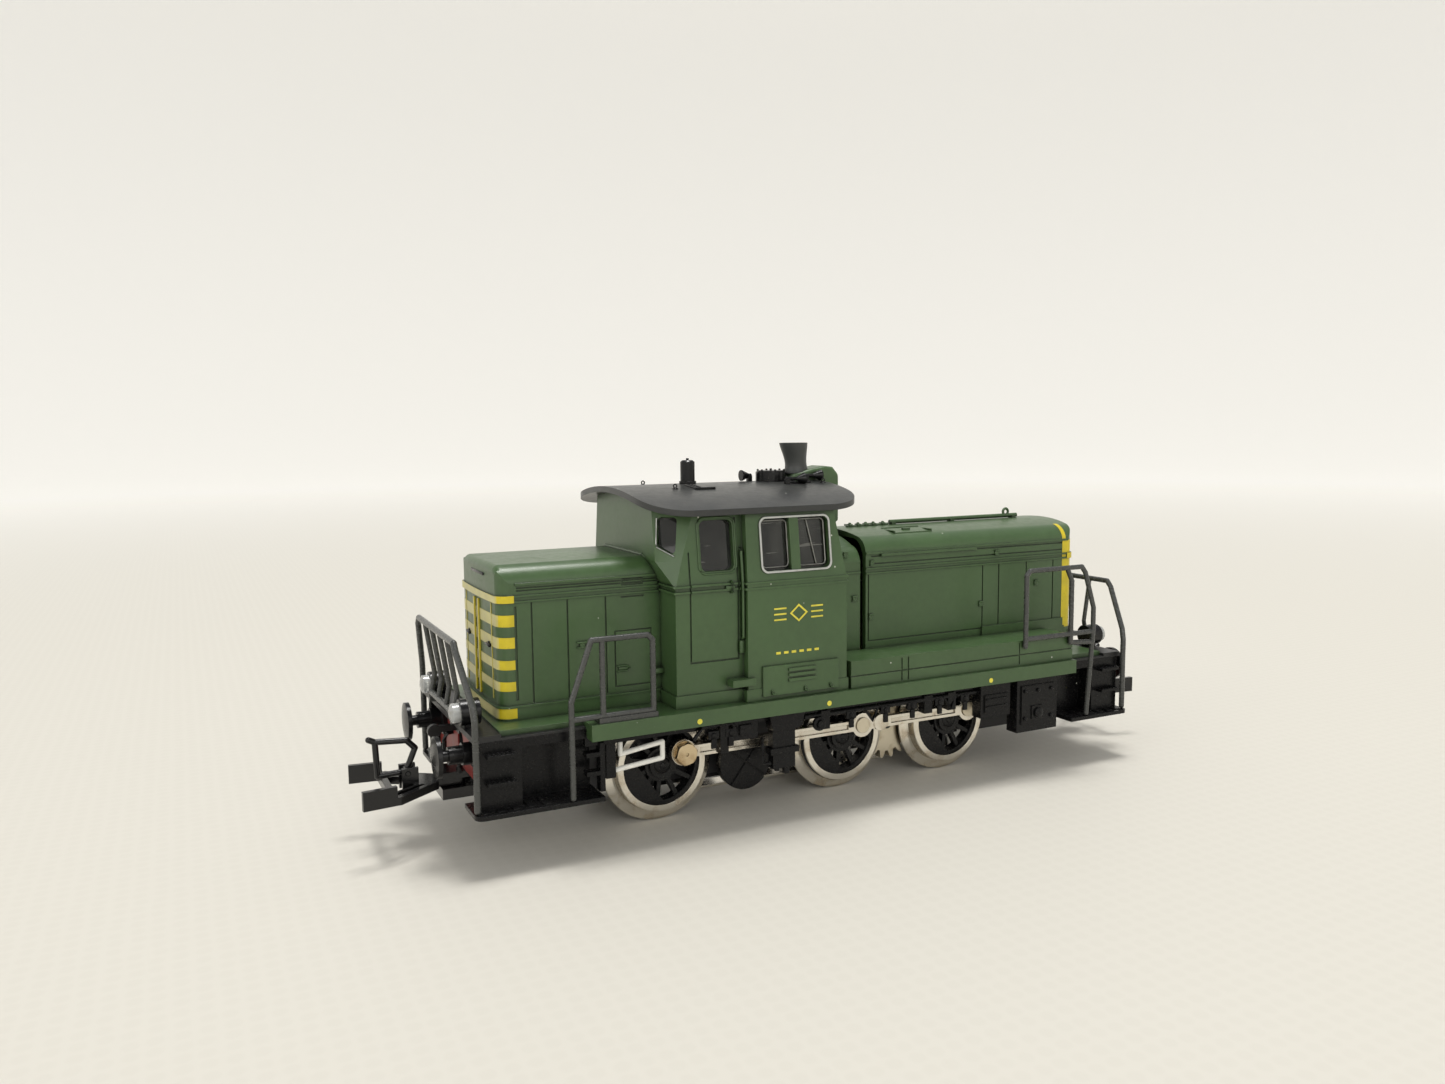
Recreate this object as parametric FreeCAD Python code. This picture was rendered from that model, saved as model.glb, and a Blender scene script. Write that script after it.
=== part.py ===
"""H0 model of a three-axle diesel shunting locomotive with coupling rods.

Millimetres. X runs along the locomotive, from the short bonnet (-X) to the long bonnet (+X).
Y runs across it and Z up. The origin lies on the rails' plane, under the middle of the model.
"""
import FreeCAD, Part
import math
import os

V = FreeCAD.Vector
ALONG_X = V(1, 0, 0)
ALONG_Y = V(0, 1, 0)
ALONG_Z = V(0, 0, 1)
OUT_DIR = "parts"

# ---- driving dimensions ------------------------------------------------------------------
BUFFER_X = 60.0            # buffer face to the middle, 120 mm over buffers
BUFFER_Y = 10.1
BUFFER_Z = 14.6
BEAM_X = 54.0              # outer face of the buffer beam
DECK_TOP = 18.2
DECK_THICK = 1.0
DECK_HALF = 17.8           # half width of the running board
BOARD_X = (-40.8, 43.6)    # the wide, full height part of the running board
TONGUE_X = -52.2           # the narrow deck strips reach to here at both ends
TONGUE_Z = 17.5            # underside of the narrow strips
PLATFORM_TOP = 17.95
HOOD_HALF = 10.0
HOOD_WALL = 1.0

# wheels and rods
WHEEL_X = (-27.3, 3.35, 24.0)
WHEEL_NAMES = ("short_end", "middle", "long_end")
GRIPPING = "middle"        # the wheelset that carries the traction tyres
AXLE_Z = 8.6
FLANGE_R = 8.6
TREAD_R = 7.05
RIM_R = 6.9
TYRE_INNER_R = 5.95
BACK_Y = 6.95              # inner face of a wheel, 13.9 mm back to back
FLANGE_END_Y = 7.75
FACE_Y = 9.3               # outer face of the tyre
HUB_Y = 9.8
AXLE_R = 1.25
BEARING_GAP = 0.05
CRANK_THROW = 3.3
CRANK_ANGLE = 35.0         # left side, measured from +X towards +Z
SPOKES = 11
ROD_Y = (10.0, 11.0)
PIN_R = 0.8
ROD_BOSS_R = 1.9

# gear train, on the left (-Y) side of the frame
WHEEL_TEETH = 18
REDUCTION_TEETH = 14
CROWN_TEETH = 40
PINION_TEETH = 10
GEAR_MODULE = (WHEEL_X[2] - WHEEL_X[1]) / 2 / WHEEL_TEETH
MOTOR_MODULE = 0.4
IDLER_X = (WHEEL_X[1] + WHEEL_X[2]) / 2
REDUCTION_Z = AXLE_Z + GEAR_MODULE * (WHEEL_TEETH + REDUCTION_TEETH) / 2
MOTOR_Z = REDUCTION_Z + MOTOR_MODULE * (CROWN_TEETH + PINION_TEETH) / 2
GEAR_Y = (-6.6, -4.9)
CROWN_Y = (-4.8, -3.6)
GEAR_PIN_R = 0.7
ARMATURE_R = 6.4
SHAFT_R = 0.75

# frame
FRAME_HALF = 5.9
FRAME_Z = (5.0, 17.2)
GEAR_WALL_Y = -2.9         # the frame is recessed to here beside the gears
SHOE_STUD_X = (-12.0, 10.0)
SHOE_STUD_R = 0.5

# cab
CAB_X = (-27.5, -0.7)
CAB_HALF = 15.4
BAY_X = -17.1
BAY_HALF = 16.8
BELT_Z = 35.0
EAVES_Z = 45.0
CAB_LEAN = (3.1, 1.6, 1.2) # at the eaves: short end wall, long end wall, side walls
CAB_WALL = 1.0
CANT_Z = 38.5              # from here up the short end wall has canted corners
CANT_OUT = 1.5             # how far the wall's middle stands out there
CANT_HALF = 12.0           # half width of its middle there
CAB_TOP = 49.5
ROOF_HALF = 16.9
ROOF_THICK = 0.85
ROOF_CROWN = 48.5
ROOF_EDGE = 45.75          # top of the roof sheet at its side edge
ROOF_MIDDLE = -14.05
DOOR_WINDOW = (-23.4, -18.3, 37.0, 44.1, 0.9)
BAY_WINDOW = (-14.55, -3.45, 36.65, 44.05, 0.9)
BAY_TRIM = 0.28            # width of the bright edge round it
WINDOW_BAR = (-9.9, -8.4)
END_WINDOW = (5.6, 12.2, 40.5, 44.5)

# bonnets
SHORT_FRONT = -51.0
LONG_FRONT = 51.2
NECK_END = 6.5             # the low first section of the long bonnet
LONG_START = 7.2
BOX_X = (0.0, 43.4)
BOX_HALF = 17.0
BOX_TOP = 22.3

# ends
LAMP_Y = 9.4
PIVOT_X = 54.6             # coupler pivot
COUPLER_Z = (7.7, 8.8)
BAIL_X = 61.6
BAIL_Z = 10.3


# ---- helpers -----------------------------------------------------------------------------
def box(x0, x1, y0, y1, z0, z1):
    return Part.makeBox(x1 - x0, y1 - y0, z1 - z0, V(x0, y0, z0))


def rod_x(radius, x0, x1, y, z):
    return Part.makeCylinder(radius, x1 - x0, V(x0, y, z), ALONG_X)


def rod_y(radius, x, y0, y1, z):
    return Part.makeCylinder(radius, y1 - y0, V(x, y0, z), ALONG_Y)


def rod_z(radius, x, y, z0, z1):
    return Part.makeCylinder(radius, z1 - z0, V(x, y, z0), ALONG_Z)


def face_of(points):
    corners = [V(*p) for p in points]
    return Part.Face(Part.makePolygon(corners + corners[:1]))


def prism_xy(points, z0, z1):
    return face_of([(x, y, z0) for x, y in points]).extrude(V(0, 0, z1 - z0))


def prism_xz(points, y0, y1):
    return face_of([(x, y0, z) for x, z in points]).extrude(V(0, y1 - y0, 0))


def mirror_x(shape):
    return shape.mirror(V(0, 0, 0), ALONG_X)


def mirror_y(shape):
    return shape.mirror(V(0, 0, 0), ALONG_Y)


def fused(shapes):
    first = shapes[0]
    if len(shapes) == 1:
        return first
    return first.multiFuse(shapes[1:]).removeSplitter()


def on_both_sides(shape):
    return [shape, mirror_y(shape)]


def wire_bar(points, radius):
    """A round bar bent through the given points, with ball corners and ball ends."""
    pieces = []
    for start, end in zip(points[:-1], points[1:]):
        a = V(*start)
        run = V(*end) - a
        pieces.append(Part.makeCylinder(radius, run.Length, a, run))
    for point in points:
        pieces.append(Part.makeSphere(radius, V(*point)))
    return fused(pieces)


def save(name, shape):
    if isinstance(shape, list):
        shape = Part.makeCompound(shape)
    shape.exportStep(os.path.join(OUT_DIR, name + ".step"))


def at_both_ends(shapes):
    """Pieces drawn at the short end, and their mirror images at the long end."""
    return shapes + [mirror_x(shape) for shape in shapes]


def save_ends(name, shape):
    """Write a piece drawn at the short end, and its mirror image, as two nodes."""
    save(name + "_short_end", shape)
    save(name + "_long_end", mirror_x(shape))


# ---- wheels, axles and rods --------------------------------------------------------------
def crank_offset(side):
    """Crank pin from the axle in X and Z. The right side (+1) runs a quarter turn ahead."""
    angle = math.radians(CRANK_ANGLE + (90.0 if side > 0 else 0.0))
    return CRANK_THROW * math.cos(angle), CRANK_THROW * math.sin(angle)


def turned_about_y(points, x, z):
    """Turn a closed outline of (radius, y) about the axle line through x, z."""
    outline = face_of([(x + r, y, z) for r, y in points])
    return outline.revolve(V(x, 0, z), ALONG_Y, 360)


def tyre(x, side, grooved):
    crest_y = BACK_Y + 0.3
    groove_y = (8.35, 9.0)
    groove_r = 6.55
    points = [
        (TYRE_INNER_R, BACK_Y),
        (FLANGE_R - 0.35, BACK_Y),
        (FLANGE_R, crest_y),
        (FLANGE_R - 0.1, crest_y + 0.2),
        (TREAD_R + 0.25, FLANGE_END_Y),
        (TREAD_R, FLANGE_END_Y + 0.2),
    ]
    if grooved:
        points += [
            (TREAD_R - 0.03, groove_y[0]),
            (groove_r, groove_y[0]),
            (groove_r, groove_y[1]),
            (RIM_R + 0.03, groove_y[1]),
        ]
    points += [(RIM_R, FACE_Y - 0.1), (RIM_R - 0.1, FACE_Y), (TYRE_INNER_R, FACE_Y)]
    return turned_about_y([(r, side * y) for r, y in points], x, AXLE_Z)


def traction_tyre(x, side):
    outline = [(6.55, 8.35), (6.98, 8.35), (6.98, 9.0), (6.55, 9.0)]
    return turned_about_y([(r, side * y) for r, y in outline], x, AXLE_Z)


def wheel_centre(x, side):
    """A spoked centre with rim, hub, crank boss and counterweight, drawn at +Y."""
    face_y = FACE_Y - 0.35
    rim_in = TYRE_INNER_R - 0.55
    dx, dz = crank_offset(side)
    crank = math.degrees(math.atan2(dz, dx))
    rim = rod_y(TYRE_INNER_R, x, BACK_Y, face_y, AXLE_Z)
    rim = rim.cut(rod_y(rim_in, x, BACK_Y, face_y, AXLE_Z))
    pieces = [rim]
    pieces.append(rod_y(2.5, x, BACK_Y, face_y, AXLE_Z))
    pieces.append(rod_y(1.9, x, face_y, FACE_Y + 0.1, AXLE_Z))
    pieces.append(rod_y(1.75, x + dx, BACK_Y + 0.6, HUB_Y, AXLE_Z + dz))
    for index in range(SPOKES):
        spoke = box(x + 1.6, x + rim_in + 0.2, BACK_Y + 0.7, face_y - 0.25, AXLE_Z - 0.32, AXLE_Z + 0.32)
        spoke.rotate(V(x, 0, AXLE_Z), ALONG_Y, -(crank + index * 360.0 / SPOKES))
        pieces.append(spoke)
    weight = rod_y(rim_in + 0.2, x, BACK_Y + 0.5, face_y - 0.05, AXLE_Z)
    keep = box(x - 10, x - 2.9, BACK_Y, FACE_Y, AXLE_Z - 10, AXLE_Z + 10)
    keep.rotate(V(x, 0, AXLE_Z), ALONG_Y, -crank)
    pieces.append(weight.common(keep))
    centre = fused(pieces)
    centre = centre.cut(rod_y(AXLE_R, x, BACK_Y, HUB_Y, AXLE_Z))
    centre = centre.cut(rod_y(PIN_R, x + dx, HUB_Y - 1.6, HUB_Y, AXLE_Z + dz))
    return centre if side > 0 else mirror_y(centre)


def hexagon(x, z, across_flats, y0, y1):
    radius = across_flats / math.sqrt(3)
    corners = []
    for index in range(6):
        angle = math.radians(60 * index + 15)
        corners.append((x + radius * math.cos(angle), z + radius * math.sin(angle)))
    return prism_xz(corners, y0, y1)


def crank_pin(x, side, screw_head):
    """The pin that carries the rod: a hexagon screw, or a plain pin with a low cap."""
    dx, dz = crank_offset(side)
    px = x + dx
    pz = AXLE_Z + dz
    shank = rod_y(PIN_R, px, HUB_Y - 1.6, ROD_Y[1] + 0.1, pz)
    if screw_head:
        washer = rod_y(1.75, px, ROD_Y[1] + 0.05, ROD_Y[1] + 0.3, pz)
        head = hexagon(px, pz, 3.0, ROD_Y[1] + 0.3, ROD_Y[1] + 1.25)
        bevel = Part.makeCone(2.3, 1.3, 1.0, V(px, ROD_Y[1] + 0.5, pz), ALONG_Y)
        skirt = rod_y(2.3, px, ROD_Y[1], ROD_Y[1] + 0.5, pz)
        head = head.common(fused([bevel, skirt]))
        dimple = rod_y(0.25, px, ROD_Y[1] + 1.1, ROD_Y[1] + 1.3, pz)
        pin = fused([shank, washer, head]).cut(dimple)
    else:
        pin = fused([shank, rod_y(1.2, px, ROD_Y[1] + 0.05, ROD_Y[1] + 0.25, pz)])
    return pin if side > 0 else mirror_y(pin)


def axle(x, geared):
    shaft = rod_y(AXLE_R, x, -(FACE_Y - 0.1), FACE_Y - 0.1, AXLE_Z)
    return fused([shaft, wheel_gear(x)]) if geared else shaft


def coupling_rod(side):
    """One fluted rod for all three crank pins, with a boss at each and a knuckle boss."""
    dx, dz = crank_offset(side)
    z = AXLE_Z + dz
    half = 0.85
    pins = [x + dx for x in WHEEL_X]
    pieces = [box(pins[0], pins[2], ROD_Y[0], ROD_Y[1], z - half, z + half)]
    for px in pins:
        pieces.append(rod_y(ROD_BOSS_R, px, ROD_Y[0], ROD_Y[1], z))
    knuckle_x = pins[1] + 3.4
    pieces.append(rod_y(1.3, knuckle_x, ROD_Y[0], ROD_Y[1] + 0.1, z))
    rod = fused(pieces)
    for start, end in ((pins[0] + 2.6, pins[1] - 2.6), (knuckle_x + 2.0, pins[2] - 2.6)):
        flute = box(start, end, ROD_Y[1] - 0.25, ROD_Y[1] + 1, z - 0.38, z + 0.38)
        rod = rod.cut(flute)
    for px in pins:
        rod = rod.cut(rod_y(PIN_R + BEARING_GAP, px, ROD_Y[0] - 1, ROD_Y[1] + 1, z))
    return rod if side > 0 else mirror_y(rod)


# ---- gears and motor ---------------------------------------------------------------------
def gear(teeth, module, x, z, y0, y1, phase):
    """A spur gear with trapezium teeth; phase is the angle of one tooth's middle from +X."""
    pitch_angle = 360.0 / teeth
    pitch_r = module * teeth / 2
    flank = (
        (pitch_r - 1.2 * module, 0.33),
        (pitch_r, 0.215),
        (pitch_r + 0.45 * module, 0.15),
        (pitch_r + 0.85 * module, 0.07),
    )
    points = []
    for index in range(teeth):
        middle = phase + index * pitch_angle
        steps = [(r, -part) for r, part in flank] + [(r, part) for r, part in reversed(flank)]
        for radius, part in steps:
            angle = math.radians(middle + part * pitch_angle)
            points.append((x + radius * math.cos(angle), z + radius * math.sin(angle)))
    return prism_xz(points, y0, y1)


def wheel_gear(x):
    half_pitch = 180.0 / WHEEL_TEETH
    return gear(WHEEL_TEETH, GEAR_MODULE, x, AXLE_Z, GEAR_Y[0], GEAR_Y[1], half_pitch)


def idler_gear():
    wheel = gear(WHEEL_TEETH, GEAR_MODULE, IDLER_X, AXLE_Z, GEAR_Y[0], GEAR_Y[1], 0)
    return wheel.cut(rod_y(GEAR_PIN_R + BEARING_GAP, IDLER_X, GEAR_Y[0] - 1, GEAR_Y[1] + 1, AXLE_Z))


def reduction_gear():
    small = gear(REDUCTION_TEETH, GEAR_MODULE, IDLER_X, REDUCTION_Z, GEAR_Y[0], GEAR_Y[1], 270)
    large = gear(CROWN_TEETH, MOTOR_MODULE, IDLER_X, REDUCTION_Z, CROWN_Y[0], CROWN_Y[1], 90)
    hub = rod_y(2.2, IDLER_X, GEAR_Y[1], CROWN_Y[0], REDUCTION_Z)
    bore = rod_y(GEAR_PIN_R + BEARING_GAP, IDLER_X, GEAR_Y[0] - 1, CROWN_Y[1] + 1, REDUCTION_Z)
    return fused([small, large, hub]).cut(bore)


def gear_pins():
    pins = []
    for z in (AXLE_Z, REDUCTION_Z):
        pins.append(rod_y(GEAR_PIN_R, IDLER_X, GEAR_Y[0] - 0.2, GEAR_WALL_Y + 1.2, z))
    return pins


def armature():
    """Three-pole armature core and commutator, which turn as one with the shaft."""
    core = rod_y(ARMATURE_R, IDLER_X, -0.3, 4.5, MOTOR_Z)
    for index in range(3):
        slot = box(IDLER_X + 2.6, IDLER_X + 8, -0.4, 4.6, MOTOR_Z - 0.8, MOTOR_Z + 0.8)
        slot.rotate(V(IDLER_X, 0, MOTOR_Z), ALONG_Y, 60 + 120 * index)
        core = core.cut(slot)
    commutator = rod_y(2.5, IDLER_X, 4.5, 6.3, MOTOR_Z)
    bore = rod_y(SHAFT_R, IDLER_X, -1, 7, MOTOR_Z)
    return [core.cut(bore), commutator.cut(bore)]


def armature_shaft():
    """The armature's shaft with the motor pinion cut on its end."""
    shaft = rod_y(SHAFT_R, IDLER_X, CROWN_Y[0], 8.2, MOTOR_Z)
    pinion = gear(PINION_TEETH, MOTOR_MODULE, IDLER_X, MOTOR_Z, CROWN_Y[0], CROWN_Y[1], 0)
    return fused([shaft, pinion])


def field_magnet():
    half = 9.0
    block = box(IDLER_X - half, IDLER_X + half, -0.9, 5.0, FRAME_Z[1], MOTOR_Z + 8.0)
    return block.cut(rod_y(ARMATURE_R + 0.4, IDLER_X, -2, 6, MOTOR_Z))


def motor_shield():
    half = 6.5
    block = box(IDLER_X - half, IDLER_X + half, 5.0, 8.4, MOTOR_Z - 6.5, MOTOR_Z + 6.5)
    block = block.cut(rod_y(3.3, IDLER_X, 4.9, 6.9, MOTOR_Z))
    block = block.cut(rod_y(SHAFT_R + BEARING_GAP, IDLER_X, 6, 9, MOTOR_Z))
    return block.cut(rod_x(0.8, IDLER_X - 8, IDLER_X + 8, 5.85, MOTOR_Z))


def brushes():
    """Two carbon brushes in the shield, just off the commutator."""
    right = rod_x(0.8, IDLER_X + 2.55, IDLER_X + 6.5, 5.85, MOTOR_Z)
    right = right.cut(rod_y(2.55, IDLER_X, 4, 8, MOTOR_Z))
    left = right.mirror(V(IDLER_X, 0, 0), ALONG_X)
    return [right, left]


# ---- frame and running gear --------------------------------------------------------------
def chassis_frame():
    """The cast block between the wheels: bearings, gear recess, motor plate and end blocks."""
    body = box(-46.0, 46.0, -FRAME_HALF, FRAME_HALF, FRAME_Z[0], FRAME_Z[1])
    ends = [box(-53.0, -44.0, -9.0, 9.0, 10.0, 16.0), box(44.0, 53.0, -9.0, 9.0, 10.0, 16.0)]
    plate = box(IDLER_X - 8, IDLER_X + 8, GEAR_WALL_Y, -0.9, FRAME_Z[1] - 1, MOTOR_Z + 4)
    body = fused([body, plate] + ends)
    recess = box(-4.0, 31.5, -8.0, GEAR_WALL_Y, 0.0, 30.0)
    body = body.cut(recess)
    for x in WHEEL_X:
        body = body.cut(rod_y(AXLE_R + BEARING_GAP, x, -8, 8, AXLE_Z))
    body = body.cut(rod_y(SHAFT_R + BEARING_GAP, IDLER_X, -4, 0, MOTOR_Z))
    body = fused([body] + gear_pins())
    body = body.cut(rod_z(1.0, -42.0, 0, 4.0, 18.0)).cut(stud_holes(4.0, 6.2))
    for sign in (-1, 1):
        body = body.cut(rod_x(1.6, min(sign * 46, sign * 53), max(sign * 46, sign * 53), 0, 13.4))
    return body


def stud_holes(z0, z1):
    return fused([rod_z(SHOE_STUD_R + BEARING_GAP, x, 0, z0, z1) for x in SHOE_STUD_X])


def base_plate():
    """The black cover under the gears and axles."""
    plate = box(-33.0, 31.0, -5.0, 5.0, 4.1, FRAME_Z[0]).cut(stud_holes(4.0, 5.1))
    return plate.cut(box(-4.0, 31.5, -8.0, GEAR_WALL_Y, 0.0, 30.0))


def pickup_shoe():
    """The springy centre contact under the base plate, on two guide studs."""
    runner = [(-21, 2.3), (-18.5, 1.2), (16.5, 1.2), (19, 2.3), (19, 2.7), (16.3, 1.6), (-18.3, 1.6), (-21, 2.7)]
    shoe = prism_xz(runner, -1.4, 1.4)
    studs = [rod_z(SHOE_STUD_R, x, 0, 1.5, 4.9) for x in SHOE_STUD_X]
    return fused([shoe] + studs)


def jackshaft_disc():
    """The dummy jackshaft between the first two axles, with a cross cast in its face."""
    x = -13.9
    z = 7.2
    disc = rod_y(4.2, x, -9.6, -8.2, z)
    for tilt in (38, -52):
        groove = box(x - 4.4, x + 4.4, -9.75, -9.35, z - 0.16, z + 0.16)
        groove.rotate(V(x, 0, z), ALONG_Y, tilt)
        disc = disc.cut(groove)
    boss = rod_y(1.6, x, -8.2, -FRAME_HALF, z)
    return fused([disc, boss])


def side_frame():
    """The black moulding under the left running board: valance, boxes, hangers and springs."""
    y_out = -15.4
    y_in = -13.9
    top = DECK_TOP - DECK_THICK
    pieces = [box(BOARD_X[0], BOARD_X[1] - 0.6, -14.9, y_in, 14.6, top)]
    pieces.append(prism_xz([(-13.6, top), (-7.0, top), (-7.7, 13.6), (-8.6, 13.2), (-12.6, 13.2)], y_out - 0.5, y_in))
    pieces.append(box(-12.4, -8.7, y_out, y_in, 7.4, 13.4))
    pieces.append(box(-12.9, -8.2, y_out - 0.3, y_in, 9.6, 10.5))
    pieces.append(rod_z(0.55, -9.9, -14.7, 6.4, 8.0))
    pieces.append(rod_z(0.4, -11.4, -14.7, 6.9, 8.0))
    pieces.append(box(-18.9, -14.9, y_out, y_in, 12.5, 15.6))
    pieces.append(box(-17.9, -15.9, y_out - 0.35, y_out + 0.2, 13.2, 14.7))
    pieces.append(box(-20.9, -19.6, y_out, y_in, 10.9, 15.0))
    pieces.append(box(-38.9, -38.2, y_out, y_in, 8.3, 15.0))
    for z in (10.6, 13.2):
        pieces.append(box(-40.8, -38.4, y_out, y_in, z, z + 0.6))
    for x in (-4.2, 14.6, 19.2):
        pieces.append(box(x, x + 1.5, y_out, y_in, 12.2, 15.0))
    pieces.append(rod_x(0.42, -7.0, 26.0, -15.0, 14.4))
    pieces.append(box(25.2, 31.2, y_out - 0.6, y_in, 10.2, top))
    pieces.append(box(25.9, 30.5, y_out - 0.85, y_out, 11.0, 13.9))
    pieces.append(box(32.4, 40.9, y_out - 0.9, y_in, 6.9, top))
    pieces.append(box(33.2, 40.1, y_out - 1.15, y_out, 8.2, 14.6))
    pieces.append(box(35.2, 37.6, y_out - 1.35, y_out, 9.0, 11.2))
    pieces.append(pipe_bracket())
    return fused(pieces)


def rail_guard_pipe():
    """The light Z shaped pipe on a bracket ahead of the first wheel, on the left."""
    path = [(-36.6, -13.2, 13.9), (-36.6, -13.2, 10.2), (-28.9, -13.2, 11.0), (-28.9, -13.2, 13.3)]
    loop = path + [(-35.2, -13.2, 12.4), (-35.2, -13.2, 14.2)]
    return wire_bar(loop, 0.36)


def pipe_bracket():
    return box(-37.7, -36.3, -14.4, -13.56, 9.6, 15.6)


# ---- ends --------------------------------------------------------------------------------
def buffer_beam(board_edge):
    """The beam and the platform that ties it to the wide deck at board_edge (short end)."""
    beam = box(-BEAM_X, -53.0, -13.6, 13.6, 9.9, 17.2)
    beam = beam.cut(rod_x(1.6, -55, -52, 0, 13.4))
    foot = box(-55.9, board_edge, -15.3, 15.3, 17.2, TONGUE_Z)
    foot = foot.cut(box(-50.2, -30, -8.6, 8.6, 17, 19))
    step = box(-55.9, TONGUE_X, -15.3, 15.3, TONGUE_Z, PLATFORM_TOP)
    return fused([beam, foot, step])


def step_well(x_inner):
    """The step moulding at the short left corner: ladder plate, treads and bottom plate."""
    outer = -56.2
    pieces = [box(-55.2, -49.6, -15.3, -14.6, 8.2, 17.2)]
    pieces.append(box(-55.2, min(x_inner + 0.5, BOARD_X[0]), -15.3, -14.6, 15.9, 17.2))
    pieces.append(box(-55.2, -54.6, -15.3, -13.6, 8.2, 17.2))
    pieces.append(box(-49.6, x_inner + 0.5, -12.2, -11.5, 8.2, 17.2))
    pieces.append(box(-50.2, -49.6, -15.3, -11.5, 8.2, 17.2))
    for z in (11.6, 15.2):
        pieces.append(box(-54.4, -50.6, -16.7, -15.3, z, z + 0.45))
    plate = box(outer, x_inner + 0.9, -17.3, -11.0, 7.6, 8.2)
    plate = plate.makeFillet(1.2, [e for e in plate.Edges if is_corner(e, outer, -17.3)])
    pieces.append(plate)
    return fused(pieces)


def is_corner(edge, x, y):
    box_of = edge.BoundBox
    upright = box_of.ZLength > 0.1 and box_of.XLength < 0.01
    return upright and abs(box_of.XMin - x) < 0.01 and abs(box_of.YMin - y) < 0.01


def buffer(y):
    """A buffer at the short end: square base, stepped barrel, stem and domed head."""
    base = box(-BEAM_X - 0.7, -BEAM_X, y - 2.1, y + 2.1, BUFFER_Z - 2.1, BUFFER_Z + 2.1)
    barrel = rod_x(1.5, -BEAM_X - 2.2, -BEAM_X - 0.7, y, BUFFER_Z)
    sleeve = rod_x(1.2, -BEAM_X - 4.0, -BEAM_X - 2.2, y, BUFFER_Z)
    stem = rod_x(0.75, -BUFFER_X + 0.6, -BEAM_X - 4.0, y, BUFFER_Z)
    head = rod_x(2.75, -BUFFER_X, -BUFFER_X + 0.9, y, BUFFER_Z)
    dome = Part.makeSphere(13.0, V(-BUFFER_X + 13.0, y, BUFFER_Z))
    return fused([base, barrel, sleeve, stem, head.common(dome)])


def lamp_housing(y):
    """A lamp on the short end's platform."""
    drum = rod_x(1.75, -56.2, -53.6, y, 20.0)
    foot = box(-55.4, -53.9, y - 0.9, y + 0.9, PLATFORM_TOP, 18.9)
    socket = rod_x(1.3, -56.3, -54.6, y, 20.0)
    return fused([drum, foot]).cut(socket)


def lamp_lens(y):
    body = rod_x(1.3, -56.5, -54.6, y, 20.0)
    dome = Part.makeSphere(2.4, V(-56.5 + 1.35, y, 20.0))
    nose = dome.common(rod_x(1.3, -58.5, -56.5, y, 20.0))
    return fused([body, nose])


def light_bulb():
    """A lamp bulb in the short end block: glass capsule and cap."""
    glass = rod_x(1.45, -51.5, -47.6, 0, 13.4)
    return fused([glass, Part.makeSphere(1.45, V(-51.5, 0, 13.4))])


def draw_hook():
    """The dummy draw hook in the middle of the short end's beam."""
    plate = box(-BEAM_X - 0.5, -BEAM_X, -1.5, 1.5, 14.9, 16.6)
    shank = box(-57.4, -BEAM_X - 0.5, -0.4, 0.4, 15.2, 16.1)
    return fused([plate, shank, rod_y(0.95, -57.6, -0.4, 0.4, 15.4)])


def end_railing():
    """The railing across the short end: side posts, top bar, four bars and a low bar."""
    post_x = -55.75
    top = (-56.95, 11.9, 29.6)
    knee = 22.0
    radius = 0.44
    near = [(post_x, -16.2, 8.2 + radius), (post_x, -16.2, 20.2), (post_x - 0.1, -15.8, knee)]
    corner = [(top[0], -top[1], top[2] - 0.9), (top[0], -top[1] + 0.8, top[2])]
    left_half = near + corner
    right_half = [(x, -y, z) for x, y, z in reversed(left_half)]
    outline = wire_bar(left_half + right_half, radius)
    pieces = [outline]
    for y in (-7.0, -2.4, 2.4, 7.0):
        pieces.append(wire_bar([(top[0], y, top[2]), (post_x - 0.05, y, knee), (post_x - 0.6, y, 19.3)], 0.36))
    low_x = post_x - 0.6
    low = [(low_x, -7.0, 18.4), (low_x, -7.0, 19.3), (low_x, 7.0, 19.3), (low_x, 7.0, 18.4)]
    pieces.append(wire_bar(low, 0.42))
    for y in (-7.0, 7.0):
        pieces.append(box(low_x - 0.42, -55.3, y - 0.5, y + 0.5, PLATFORM_TOP, 18.6))
    return fused(pieces)


def short_handrail():
    """The hand rail beside the short bonnet, on the left."""
    y = -17.0
    radius = 0.4
    low = 19.1
    top = 29.4
    post = [(-43.3, y, 8.2 + radius), (-43.3, y, 21.4), (-40.4, y, top)]
    frame = post + [(-32.4, y, top), (-31.7, y, top - 0.7), (-31.7, y, low)]
    pieces = [wire_bar(frame, radius)]
    pieces.append(wire_bar([(-43.3, y, low), (-31.7, y, low)], radius))
    pieces.append(wire_bar([(-38.9, y, low), (-38.9, y, top)], radius))
    pieces.append(box(-39.6, -31.2, -17.5, -15.3, DECK_TOP, 18.9))
    return fused(pieces)


def long_handrail():
    """The hand rail beside the long bonnet, on the left, down to the corner step."""
    y = -17.5
    radius = 0.4
    top = 33.6
    step_x = 46.9
    frame = [(32.9, y, 21.4), (32.9, y, top - 0.7), (33.6, y, top), (44.6, y, top)]
    slope = [(45.4, y, top - 1.0), (47.4, y, 26.6), (47.4, y, 22.6), (step_x, y + 0.6, 8.2 + radius)]
    pieces = [wire_bar(frame + slope, radius)]
    pieces.append(wire_bar([(41.4, y, top), (42.5, y, top - 2.2), (42.5, y, 22.6)], radius))
    pieces.append(wire_bar([(32.9, y, 22.6), (47.4, y, 22.6)], radius))
    pieces.append(wire_bar([(42.5, y, 21.2), (47.3, y, 20.8)], 0.4))
    pieces.append(wire_bar([(42.5, y, 22.6), (42.5, y, 21.2)], radius))
    return fused(pieces)


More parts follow.
